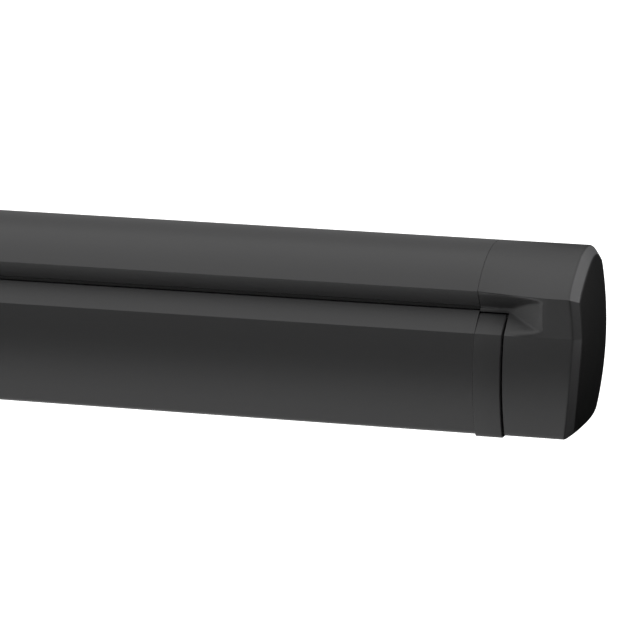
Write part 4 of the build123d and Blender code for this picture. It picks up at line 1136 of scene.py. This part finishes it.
def screw_tree():
    """Geometry Nodes: a screw on every vertex of a mesh, its head along the vertex's facing."""
    tree, get = geometry_tree(
        "Screws", ("Geometry", "Places"),
        ("Float", "Head radius", "Head height", "Recess", "Shank radius", "Shank length"),
        ("Bool", "Hex"), ("Int", "Seed"), ("Material", "Material"),
    )
    radius, height, recess = get["Head radius"], get["Head height"], get["Recess"]

    grid = add(
        tree, "GeometryNodeMeshGrid", Size_X=1.0, Size_Y=1.0, Vertices_X=HEAD_PROFILE, Vertices_Y=HEAD_STEPS,
    )
    along, round_head, _ = position(tree)
    along = maths(tree, "ADD", along, 0.5)
    turned_by = times(tree, round_head, 2 * pi)
    skirt = maths(tree, "MINIMUM", maths(tree, "DIVIDE", along, SKIRT), 1.0)
    dome = maths(tree, "DIVIDE", maths(tree, "SUBTRACT", along, SKIRT), 1 - SKIRT)
    dome = times(tree, maths(tree, "MAXIMUM", dome, 0.0), pi / 2)
    out = times(tree, radius, maths(tree, "COSINE", dome))
    rise = mixed(tree, (skirt, SKIRT_RISE), (maths(tree, "SINE", dome), 1 - SKIRT_RISE))
    spot = vector(
        tree, X=times(tree, out, maths(tree, "COSINE", turned_by)),
        Y=times(tree, out, maths(tree, "SINE", turned_by)), Z=times(tree, height, rise),
    )
    head = add(tree, "GeometryNodeSetPosition", [("Geometry", grid.outputs["Mesh"]), ("Position", spot)])
    head = add(tree, "GeometryNodeMergeByDistance", [("Geometry", head.outputs[0])], Distance=SEAL)
    head = add(tree, "GeometryNodeFlipFaces", [("Mesh", head.outputs[0])])
    shank_sizes = [("Radius", get["Shank radius"]), ("Depth", get["Shank length"])]
    shank = add(tree, "GeometryNodeMeshCylinder", shank_sizes, Vertices=SHANK_STEPS)
    low = vector(tree, Z=times(tree, get["Shank length"], -0.5))
    shank = add(tree, "GeometryNodeTransform", [("Geometry", shank.outputs["Mesh"]), ("Translation", low)])
    base = add(
        tree, "GeometryNodeMeshCylinder", [("Radius", radius)], Vertices=BASE_STEPS, Depth=BASE_DEPTH,
    )

    bars = tree.nodes.new("GeometryNodeJoinGeometry")
    deep, arm = times(tree, height, CUTTER_HEIGHT), times(tree, recess, CROSS_ARM)
    for first, second in ((recess, arm), (arm, recess)):
        cube = add(tree, "GeometryNodeMeshCube", [("Size", vector(tree, X=first, Y=second, Z=deep))])
        tree.links.new(cube.outputs["Mesh"], bars.inputs[0])
    hexagon = [("Radius", times(tree, recess, 0.5)), ("Depth", deep)]
    hexagon = add(tree, "GeometryNodeMeshCylinder", hexagon, Vertices=6)
    pick = add(tree, "GeometryNodeSwitch", [
        ("Switch", get["Hex"]), ("False", bars.outputs[0]), ("True", hexagon.outputs["Mesh"]),
    ], input_type="GEOMETRY")
    up = vector(tree, Z=times(tree, height, CUTTER_MIDDLE))
    raised = add(tree, "GeometryNodeTransform", [("Geometry", pick.outputs[0]), ("Translation", up)])
    carved = add(tree, "GeometryNodeMeshBoolean", [
        ("Mesh 1", head.outputs[0]), ("Mesh 2", raised.outputs[0]),
    ], operation="DIFFERENCE", solver="EXACT")

    whole = tree.nodes.new("GeometryNodeJoinGeometry")
    for part in (carved.outputs["Mesh"], shank.outputs[0], base.outputs["Mesh"]):
        tree.links.new(part, whole.inputs[0])
    facing = add(tree, "GeometryNodeInputNamedAttribute", data_type="FLOAT_VECTOR", Name="facing")
    aim = add(tree, "FunctionNodeAlignRotationToVector", [("Vector", facing.outputs["Attribute"])], axis="Z")
    roll = add(tree, "FunctionNodeRandomValue", [("Seed", get["Seed"])], data_type="FLOAT")
    by_identifier(roll.inputs, "Min_001").default_value = 0.0
    by_identifier(roll.inputs, "Max_001").default_value = 2 * pi
    angle = by_identifier(roll.outputs, "Value_001")
    spin = add(tree, "FunctionNodeAxisAngleToRotation", [("Angle", angle)], Axis=(0, 0, 1))
    both = add(tree, "FunctionNodeRotateRotation", [
        ("Rotation", aim.outputs[0]), ("Rotate By", spin.outputs[0]),
    ], rotation_space="LOCAL")
    points = add(tree, "GeometryNodeMeshToPoints", [("Mesh", get["Places"])])
    placed = add(tree, "GeometryNodeInstanceOnPoints", [
        ("Points", points.outputs[0]), ("Instance", whole.outputs[0]), ("Rotation", both.outputs[0]),
    ])
    return given_back_real(tree, placed.outputs[0], get["Material"])


def screw_places(name, spots):
    """A mesh of loose vertices, one for each screw, with the way that its head faces."""
    mesh = bpy.data.meshes.new(name)
    mesh.from_pydata([place(*spot) for spot, way in spots], [], [])
    facing = mesh.attributes.new("facing", "FLOAT_VECTOR", "POINT")
    for item, (spot, way) in zip(facing.data, spots):
        item.vector = way
    return mesh


class AWNING_OT_screws(bpy.types.Operator):
    """Screws and bolts of the case, the end plates, the winch, the shoulders and the bar caps"""

    bl_idname = "awning.screws"
    bl_label = "Screws"

    def execute(self, context):
        c, b, f = case(), bar(), context.scene.awning_fixings
        tree = screw_tree()
        plate, cap = c.seam + f.plate, c.seam + b.cap_width
        ways = (-1, 1)
        plate_ports = (
            (f.top_port_reach, f.top_port_height), (f.top_port_reach, f.low_port_height),
            (f.nose_port_reach, f.nose_port_height),
        )
        cap_ports = ((f.cap_high_reach, f.cap_high_height), (f.cap_rear_reach, f.cap_rear_height))
        plates = [((way * plate, *port), (way, 0, 0)) for way in ways for port in plate_ports]
        winch = [((-(plate + f.ear), f.roller_reach, z), (-1, 0, 0)) for z in (f.ear_low, f.ear_high)]
        caps = [((way * cap, *port), (way, 0, 0)) for way in ways for port in cap_ports]
        locks = [((x, f.lock_reach, f.lock_height), (0, 0, -1)) for x in (-f.bracket, 0, f.bracket)]
        bolt_spots = [(way * f.bolt, z) for way in ways for z in (f.bolt_low, f.bolt_high)]
        bolts = [((x, f.bolt_reach, z), (0, -1, 0)) for x, z in bolt_spots]
        tails = [((x, c.wall_gap, z), (0, 1, 0)) for x, z in bolt_spots]
        self.row(
            "end_plate_and_winch_screws", tree, plates + winch, "case", "steel", "end_plate_screws",
            head=f.plate_head, height=0.0025, recess=0.0029, shank=0.0016, length=0.014,
        )
        self.row(
            "bar_cap_screws", tree, caps, "front_bar", "black_screw", "lead_bar_cap_screws",
            head=f.cap_head, height=0.0011, recess=0.0034, shank=0.0015, length=0.014,
        )
        self.row(
            "lock_screws", tree, locks, "case", "steel", "bracket_lock_screws",
            head=f.lock_head, height=0.0035, recess=0.0052, shank=0.003, length=0.008,
        )
        self.row(
            "shoulder_bolt_heads", tree, bolts, "case", "steel", "shoulder_bolts",
            head=f.bolt_head, height=0.004, recess=0.0058, shank=0.003, length=0.0055, hexagon=True,
        )
        self.row(
            "shoulder_bolt_tails", tree, tails, "case", "steel",
            head=f.bolt_head, height=0.0016, recess=0.001, shank=0.003, length=0.001,
        )
        return {"FINISHED"}

    def row(
        self, name, tree, spots, body, finish, *nodes, head, height, recess, shank, length, hexagon=False,
    ):
        """Makes like screws as one piece; head and shank are radii."""
        made = grown(name, tree, {
            "Head radius": head, "Head height": height, "Recess": recess, "Shank radius": shank,
            "Shank length": length, "Hex": hexagon, "Seed": SCREW_SEED,
            "Material": bpy.data.materials[finish],
        }, screw_places(name, spots))
        shade_by_angle(made.data, SCREW_CRISP)
        dress(made, finish, body, *nodes, slot="steel")


# Canopy

# Strips of a sheet across the awning, and steps of one turn on the roll
CLOTH_STRIPS = 8
TURN_STEPS = 48
# Angle of the roll that the run still covers, in radians, and its steps
LAP = 0.4
LAP_STEPS = 8
# Steps of the straight run
RUN_STEPS = 80
# Angle that the hem's sleeve leaves open on each side of the run, in radians, and its steps
HEM_OPEN = 0.12
HEM_STEPS = 24
# From the hem rod to the middle of the sleeve, as a share of the cloth's thickness
HEM_LIE = 0.6


def canopy_line():
    """Where the canopy touches the roll, its heading from the hem rod, and the run between."""
    s = cloth_sizes()
    across, up = s.roller_reach - s.groove_reach, s.roller_height - s.groove_height
    away = hypot(across, up)
    clear = s.outside + s.thick
    run = sqrt(away**2 - clear**2)
    heading = atan2(up, across) + acos(run / away)
    touch = (s.groove_reach + run * cos(heading), s.groove_height + run * sin(heading))
    return touch, heading, run


def spiral_tree():
    """Geometry Nodes: a flat grid wound into a spiral round the roller, with its map in metres."""
    tree, get = geometry_tree(
        "Wound cloth",
        ("Float", "Width", "Core", "Outside", "Pitch", "Start angle", "Axis reach", "Axis height"),
        ("Int", "Steps"), ("Material", "Material"),
    )
    core, outside = get["Core"], get["Outside"]
    depth = maths(tree, "SUBTRACT", outside, core)
    turns = maths(tree, "DIVIDE", depth, get["Pitch"])
    length = times(tree, turns, times(tree, maths(tree, "ADD", outside, core), pi))
    grid = add(tree, "GeometryNodeMeshGrid", [
        ("Size X", get["Width"]), ("Size Y", length), ("Vertices Y", times(tree, turns, get["Steps"])),
    ], Vertices_X=CLOTH_STRIPS + 1)
    across, along, _ = position(tree)
    share = maths(tree, "ADD", maths(tree, "DIVIDE", along, length), 0.5)
    radius = maths(tree, "ADD", core, times(tree, share, depth))
    left = times(tree, maths(tree, "SUBTRACT", 1.0, share), times(tree, turns, 2 * pi))
    angle = maths(tree, "SUBTRACT", get["Start angle"], left)
    reach = maths(tree, "ADD", get["Axis reach"], times(tree, radius, maths(tree, "COSINE", angle)))
    height = maths(tree, "ADD", get["Axis height"], times(tree, radius, maths(tree, "SINE", angle)))
    spot = vector(tree, X=across, Y=times(tree, reach, -1.0), Z=height)
    store = add(tree, "GeometryNodeStoreNamedAttribute", [
        ("Geometry", grid.outputs["Mesh"]),
    ], data_type="FLOAT2", domain="CORNER", Name="ClothMap")
    tree.links.new(vector(tree, X=across, Y=along), store.inputs["Value"])
    moved = add(tree, "GeometryNodeSetPosition", [("Geometry", store.outputs[0]), ("Position", spot)])
    smooth = add(tree, "GeometryNodeSetShadeSmooth", [("Geometry", moved.outputs[0])])
    return given_back_real(tree, smooth.outputs[0], get["Material"])


class AWNING_OT_canopy(bpy.types.Operator):
    """Canopy: the cloth wound on the roller, the run to the lead bar and the hem"""

    bl_idname = "awning.canopy"
    bl_label = "Canopy"

    def execute(self, context):
        s = cloth_sizes()
        cloth = bpy.data.materials["canopy_cloth"]
        touch, heading, run = canopy_line()
        start = atan2(touch[1] - s.roller_height, touch[0] - s.roller_reach)
        roll = grown("wound_cloth", spiral_tree(), {
            "Width": 2 * s.half_width, "Core": s.core, "Outside": s.outside, "Pitch": s.pitch,
            "Start angle": start - LAP, "Axis reach": s.roller_reach,
            "Axis height": s.roller_height - case().fixing_height, "Steps": TURN_STEPS, "Material": cloth,
        })
        self.give_thickness(roll, s.thick)
        dress(roll, "canopy_cloth", "roller", "fabric_roll")
        panel = built("canopy_run", lambda made: self.panel(made, start, heading, run))
        self.give_thickness(panel, s.thick)
        panel.data.materials.append(cloth)
        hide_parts("fabric_panel")
        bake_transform(panel)
        hem = built("hem_sleeve", lambda made: self.sleeve(made, heading))
        self.give_thickness(hem, s.thick)
        dress(hem, "canopy_cloth", "front_bar")
        return {"FINISHED"}

    def give_thickness(self, thing, thick):
        """Thickens a sheet to both sides and shades it smooth."""
        step = thing.modifiers.new("Thickness", "SOLIDIFY")
        step.thickness = thick
        step.offset = 0.0
        evaluated(thing)
        for polygon in thing.data.polygons:
            polygon.use_smooth = True

    def hem_point(self, heading, run, share):
        """A point of the straight run, from the hem rod at share 0 to the roll at share 1."""
        s = cloth_sizes()
        along = s.hem_rod + share * (run - s.hem_rod)
        return (s.groove_reach + along * cos(heading), s.groove_height + along * sin(heading))

    def rows(self, made, points, lengths):
        """A strip of cloth over rows of (reach, height), mapped in metres."""
        s = cloth_sizes()
        spots = [s.half_width * (2 * i / CLOTH_STRIPS - 1) for i in range(CLOTH_STRIPS + 1)]
        cloth_map = made.loops.layers.uv.new("ClothMap")
        lines = [[made.verts.new(place(x, *point)) for x in spots] for point in points]
        for k in range(len(points) - 1):
            for i in range(CLOTH_STRIPS):
                corners = ((i, k), (i + 1, k), (i + 1, k + 1), (i, k + 1))
                face = made.faces.new([lines[b][a] for a, b in corners])
                for loop, (a, b) in zip(face.loops, corners):
                    loop[cloth_map].uv = (spots[a], lengths[b])
        bmesh.ops.recalc_face_normals(made, faces=made.faces)

    def panel(self, made, first, heading, run):
        """The run: over the roll's last turn, then straight to the hem, evenly spaced when open."""
        s = cloth_sizes()
        radius = s.outside + s.thick
        points, lengths = [], []
        for i in range(LAP_STEPS):
            angle = first - LAP * (1 - i / LAP_STEPS)
            points.append((s.roller_reach + radius * cos(angle), s.roller_height + radius * sin(angle)))
            lengths.append(-radius * LAP * (1 - i / LAP_STEPS))
        for i in range(RUN_STEPS + 1):
            even = i / RUN_STEPS
            share = 0.5 - sin(asin(1 - 2 * even) / 3)
            points.append(self.hem_point(heading, run, 1 - share))
            lengths.append(s.canopy_length * even)
        self.rows(made, points, lengths)

    def sleeve(self, made, heading):
        """The hem's sleeve, once round its rod but for the opening towards the run."""
        s = cloth_sizes()
        radius = s.hem_rod + s.thick * HEM_LIE
        points, lengths = [], []
        for i in range(HEM_STEPS + 1):
            angle = heading + HEM_OPEN + (2 * pi - 2 * HEM_OPEN) * i / HEM_STEPS
            points.append((s.groove_reach + radius * cos(angle), s.groove_height + radius * sin(angle)))
            lengths.append(s.canopy_length + radius * (angle - heading))
        self.rows(made, points, lengths)


# CAD pieces

# Width of the eased edges of each finish, and the faces across them
EDGE_WIDTHS = {
    "case_coat": 0.0003, "bar_coat": 0.0003, "plate_aluminium": 0.0003, "arm_anodised": 0.0004,
    "leg_anodised": 0.0004, "arm_casting": 0.0009, "steel": 0.0003, "wheel_brass": 0.0002,
    "cover_plastic": 0.0006, "dark_plastic": 0.0006, "seal_rubber": 0.0003,
}
EDGE_SEGMENTS = 2
# The extrusions, whose front lower corner is rounded widely
EXTRUSIONS = ("case_shell", "lead_bar")
# Width of that rounding as a share of the foot's corner, and the faces across it
WIDE_SHARE = 0.8
WIDE_SEGMENTS = 6
# How far from that corner an edge may be to count as it
ON_CORNER = 0.0003
# Vertices closer than this are merged
WELD = 0.000005
# Faces that meet at less than this angle are joined, in degrees
FLAT = 0.4
# Edges sharper than this are creases, in degrees
CREASE = 30


def crease_tree():
    """Geometry Nodes: smooth faces with crisp creases, and how much each crease is eased."""
    tree, get = geometry_tree(
        "Creases", ("Geometry", "Geometry"), ("Float", "Angle", "Share", "Corner Y", "Corner Z"),
    )
    smooth = add(tree, "GeometryNodeSetShadeSmooth", [("Geometry", get["Geometry"])], domain="FACE")
    bend = tree.nodes.new("GeometryNodeInputMeshEdgeAngle").outputs["Unsigned Angle"]
    flat = maths(tree, "LESS_THAN", bend, get["Angle"])
    crisp = add(tree, "GeometryNodeSetShadeSmooth", [
        ("Geometry", smooth.outputs[0]), ("Shade Smooth", flat),
    ], domain="EDGE")
    _, y, z = position(tree)
    near = []
    for socket, corner in ((y, "Corner Y"), (z, "Corner Z")):
        away = maths(tree, "ABSOLUTE", maths(tree, "SUBTRACT", socket, get[corner]))
        near.append(maths(tree, "LESS_THAN", away, ON_CORNER))
    plain = times(tree, maths(tree, "SUBTRACT", 1.0, flat), get["Share"])
    weight = maths(tree, "MAXIMUM", plain, times(tree, *near))
    store = add(tree, "GeometryNodeStoreNamedAttribute", [
        ("Geometry", crisp.outputs[0]), ("Value", weight),
    ], data_type="FLOAT", domain="EDGE", Name="bevel_weight_edge")
    return given_back(tree, store.outputs[0])


class AWNING_OT_edges(bpy.types.Operator):
    """Eased edges and clean shading on the extrusions, castings and metal parts of the frame"""

    bl_idname = "awning.edges"
    bl_label = "Eased edges"

    def execute(self, context):
        b = bar()
        corner = place(0, b.foot_reach, 0)
        tree = crease_tree()
        for name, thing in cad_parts.items():
            finish = thing.material_slots[0].material.name if thing.material_slots else ""
            if thing.hide_render or finish not in EDGE_WIDTHS:
                continue
            long_piece = name in EXTRUSIONS
            width = EDGE_WIDTHS[finish]
            weld = thing.modifiers.new("Weld", "WELD")
            weld.merge_threshold = WELD
            flats = thing.modifiers.new("Flats", "DECIMATE")
            flats.decimate_type = "DISSOLVE"
            flats.angle_limit = radians(FLAT)
            nodes_step(thing, "Creases", tree, {
                "Angle": radians(CREASE), "Share": width / b.foot_corner if long_piece else 1.0,
                "Corner Y": corner.y, "Corner Z": corner.z,
            })
            edge = thing.modifiers.new("Eased edges", "BEVEL")
            edge.limit_method = "WEIGHT"
            edge.harden_normals = True
            edge.width = b.foot_corner * WIDE_SHARE if long_piece else width
            edge.segments = WIDE_SEGMENTS if long_piece else EDGE_SEGMENTS
            edge.use_clamp_overlap = not long_piece
        return {"FINISHED"}


# Finishes and stage

# How far the camera sees, in metres
SIGHT = 500.0
# How much darker and paler than its colour a coat or a moulding gets
COAT_LOW = 0.93
COAT_HIGH = 1.07


class AWNING_OT_finishes(bpy.types.Operator):
    """Procedural finishes: powder coat, moulded plastic, anodised and cast metal, rubber and cloth"""

    bl_idname = "awning.finishes"
    bl_label = "Finishes"

    def execute(self, context):
        k = context.scene.awning_colours
        coat, moulded, drawn, cast = coat_group(), moulded_group(), drawn_group(), cast_group()
        for name, base in (("case_coat", k.case), ("bar_coat", k.bar)):
            make_finish(
                name, coat, tone(base, COAT_LOW), tone(base, COAT_HIGH),
                rough=0.42, spread=0.03, depth=0.00003, specular=0.35,
            )
        # The covers' colour takes their painted highlight on the bevel and painted shade on the domed face
        make_finish(
            "cover_plastic", moulded, tone(k.cover, COAT_LOW), tone(k.cover, COAT_HIGH),
            rough=0.44, spread=0.03, depth=0.00002, specular=0.35, with_painted_light=True,
        )
        make_finish(
            "dark_plastic", moulded, (0.014, 0.014, 0.015), (0.019, 0.019, 0.02),
            rough=0.5, spread=0.05, depth=0.00003,
        )
        make_finish(
            "seal_rubber", moulded, (0.011, 0.011, 0.011), (0.016, 0.016, 0.016),
            rough=0.8, spread=0.05, depth=0.00002, grain=700.0, specular=0.25,
        )
        make_finish(
            "black_screw", cast, (0.012, 0.012, 0.013), (0.02, 0.02, 0.021),
            rough=0.45, spread=0.06, depth=0.00001, grain=900.0, specular=0.4,
        )
        make_finish(
            "plate_aluminium", drawn, (0.54, 0.55, 0.57), (0.66, 0.67, 0.69),
            rough=0.4, spread=0.08, depth=0.00001, metallic=1.0,
        )
        make_finish(
            "arm_anodised", drawn, (0.5, 0.51, 0.53), (0.57, 0.58, 0.6),
            rough=0.34, spread=0.05, depth=0.000008, metallic=1.0,
        )
        make_finish(
            "leg_anodised", drawn, (0.53, 0.54, 0.56), (0.6, 0.61, 0.63),
            rough=0.34, spread=0.05, depth=0.000008, metallic=1.0,
        )
        make_finish(
            "arm_casting", cast, (0.24, 0.25, 0.265), (0.31, 0.32, 0.335),
            rough=0.48, spread=0.08, depth=0.00008, metallic=0.6,
        )
        make_finish(
            "steel", cast, (0.5, 0.5, 0.51), (0.62, 0.62, 0.62),
            rough=0.32, spread=0.1, depth=0.00001, metallic=1.0, grain=900.0,
        )
        make_finish(
            "wheel_brass", drawn, (0.5, 0.37, 0.16), (0.6, 0.45, 0.21),
            rough=0.3, spread=0.06, depth=0.00001, metallic=1.0,
        )
        make_finish(
            "canopy_cloth", cloth_group(), k.cloth, k.cloth_band,
            rough=0.62, spread=0.08, depth=0.00012, specular=0.3, uv=True,
        )
        return {"FINISHED"}


class AWNING_OT_camera(bpy.types.Operator):
    """Camera at the photograph's distance and angle"""

    bl_idname = "awning.camera"
    bl_label = "Camera"

    def execute(self, context):
        s = context.scene.awning_stage
        data = bpy.data.cameras.new("camera")
        data.sensor_width = s.sensor
        data.lens = s.lens
        data.clip_end = SIGHT
        camera = new_object("camera", data)
        camera.location = s.eye
        camera.rotation_euler = (pi / 2 - s.elevation, 0, s.azimuth)
        context.scene.camera = camera
        return {"FINISHED"}


# Corners of the dark screens: behind the right end, below and beyond it, far in front, far right
SCREENS = (
    [(1.15, 0.35, -1.6), (2.0, 0.35, -1.6), (2.0, 0.35, 0.3), (1.15, 0.35, 0.3)],
    [(1.4, -0.35, -0.4), (2.2, -0.35, -0.4), (2.2, 0.6, -0.4), (1.4, 0.6, -0.4)],
    [(-7.0, -6.5, -2.3), (7.0, -6.5, -2.3), (7.0, -6.5, 2.2), (-7.0, -6.5, 2.2)],
    [(3.0, -2.4, -2.3), (3.0, 1.5, -2.3), (3.0, 1.5, 0.8), (3.0, -2.4, 0.8)],
)
# The lamps' names, the sizes that hold their strengths, their widths in degrees and their ways
LAMPS = (
    ("overhead", "key", 95, (0.05, 0.2, -1.0)),
    ("left_fill", "fill", 60, (1.0, 0.3, -0.35)),
    ("right_rim", "rim", 24, (-0.85, -0.42, -0.20)),
)
# The floor's darkest and palest spots beside its colour, and the colours of the screens' cloth
FLOOR_LOW = 0.99
FLOOR_HIGH = 1.01
SCREEN_LOW = (0.004, 0.004, 0.004)
SCREEN_HIGH = (0.008, 0.008, 0.008)


class AWNING_OT_stage(bpy.types.Operator):
    """Pale floor, three soft lamps, and dark screens that the camera doesn't see"""

    bl_idname = "awning.stage"
    bl_label = "Stage"

    def execute(self, context):
        s, k = context.scene.awning_stage, context.scene.awning_colours
        half = s.floor_side / 2
        corners = ((-half, -half), (half, -half), (half, half), (-half, half))
        floor = [(x, y, s.floor_height) for x, y in corners]
        self.sheets("studio_floor", [floor], self.floor_material(k.floor, s.backing))
        screens = self.sheets("dark_screens", SCREENS, self.screen_material())
        screens.visible_camera = False
        screens.visible_shadow = False
        for name, power, angle, way in LAMPS:
            lamp = bpy.data.lights.new(name, "SUN")
            lamp.energy = getattr(s, power)
            lamp.angle = radians(angle)
            new_object(name, lamp).rotation_euler = Vector(way).to_track_quat("-Z", "Y").to_euler()
        world = bpy.data.worlds.new("room")
        context.scene.world = world
        world.use_nodes = True
        sky = next(node for node in world.node_tree.nodes if node.type == "BACKGROUND")
        sky.inputs["Color"].default_value = (1, 1, 1, 1)
        sky.inputs["Strength"].default_value = s.ambient
        context.scene.view_settings.view_transform = "Standard"
        return {"FINISHED"}

    def sheets(self, name, quads, material):
        """Flat sheets of the stage as one object."""
        def build(made):
            for quad in quads:
                made.faces.new([made.verts.new(spot) for spot in quad])

        made = built(name, build)
        made.data.materials.append(material)
        return made

    def stage_material(self, name, low, high, scale, detail, rough, specular):
        """A cloudy material, with its node tree and its shader."""
        made = bpy.data.materials.new(name)
        made.use_nodes = True
        tree = made.node_tree
        shader = next(node for node in tree.nodes if node.type == "BSDF_PRINCIPLED")
        shader.inputs["Roughness"].default_value = rough
        shader.inputs["Specular IOR Level"].default_value = specular
        cloud = noise(tree, tree.nodes.new("ShaderNodeTexCoord").outputs["Object"], scale, detail)
        tree.links.new(toned(tree, cloud, low, high), shader.inputs["Base Color"])
        return made, tree, shader

    def floor_material(self, base, backing):
        """Pale paper that the camera and reflections see as white; its shadow stays."""
        made, tree, shader = self.stage_material(
            "floor_paper", tone(base, FLOOR_LOW), tone(base, FLOOR_HIGH),
            scale=1.5, detail=3.0, rough=0.9, specular=0.1,
        )
        path = tree.nodes.new("ShaderNodeLightPath").outputs
        seen = maths(tree, "MAXIMUM", path["Is Camera Ray"], path["Is Glossy Ray"])
        seen = maths(tree, "MAXIMUM", seen, path["Is Transmission Ray"])
        glow = add(tree, "ShaderNodeEmission", [("Strength", times(tree, seen, backing))])
        both = add(tree, "ShaderNodeAddShader", [(0, shader.outputs[0]), (1, glow.outputs[0])])
        end = next(node for node in tree.nodes if node.type == "OUTPUT_MATERIAL")
        tree.links.new(both.outputs[0], end.inputs["Surface"])
        return made

    def screen_material(self):
        """Black cloth without a sheen."""
        return self.stage_material(
            "dark_cloth", SCREEN_LOW, SCREEN_HIGH, scale=40.0, detail=2.0, rough=1.0, specular=0.0,
        )[0]


class AWNING_PT_panel(bpy.types.Panel):
    """Lists the steps that make the awning"""

    bl_idname = "AWNING_PT_panel"
    bl_label = "Roll Out Awning"
    bl_space_type = "VIEW_3D"
    bl_region_type = "UI"
    bl_category = "Awning"

    def draw(self, context):
        for step in STEPS:
            self.layout.operator(step.bl_idname)


STEPS = (
    AWNING_OT_camera, AWNING_OT_finishes, AWNING_OT_end_covers, AWNING_OT_bar_caps, AWNING_OT_screws,
    AWNING_OT_canopy, AWNING_OT_edges, AWNING_OT_stage,
)
SIZES = (
    ("awning_case", AwningCaseSizes), ("awning_bar", AwningBarSizes), ("awning_cover", AwningCoverSizes),
    ("awning_fixings", AwningFixings), ("awning_cloth", AwningClothSizes),
    ("awning_colours", AwningColours), ("awning_stage", AwningStageSizes),
)


def register():
    """Registers the sizes, the steps and the panel."""
    for name, group in SIZES:
        bpy.utils.register_class(group)
        setattr(bpy.types.Scene, name, PointerProperty(type=group))
    for kind in (*STEPS, AWNING_PT_panel):
        bpy.utils.register_class(kind)


def unregister():
    """Takes back what register did, in the opposite order."""
    for kind in (AWNING_PT_panel, *reversed(STEPS)):
        bpy.utils.unregister_class(kind)
    for name, group in reversed(SIZES):
        delattr(bpy.types.Scene, name)
        bpy.utils.unregister_class(group)


def main():
    """Makes the awning and its stage."""
    register()
    for step in STEPS:
        part, name = step.bl_idname.split(".")
        getattr(getattr(bpy.ops, part), name)()


if __name__ == "__main__":
    main()
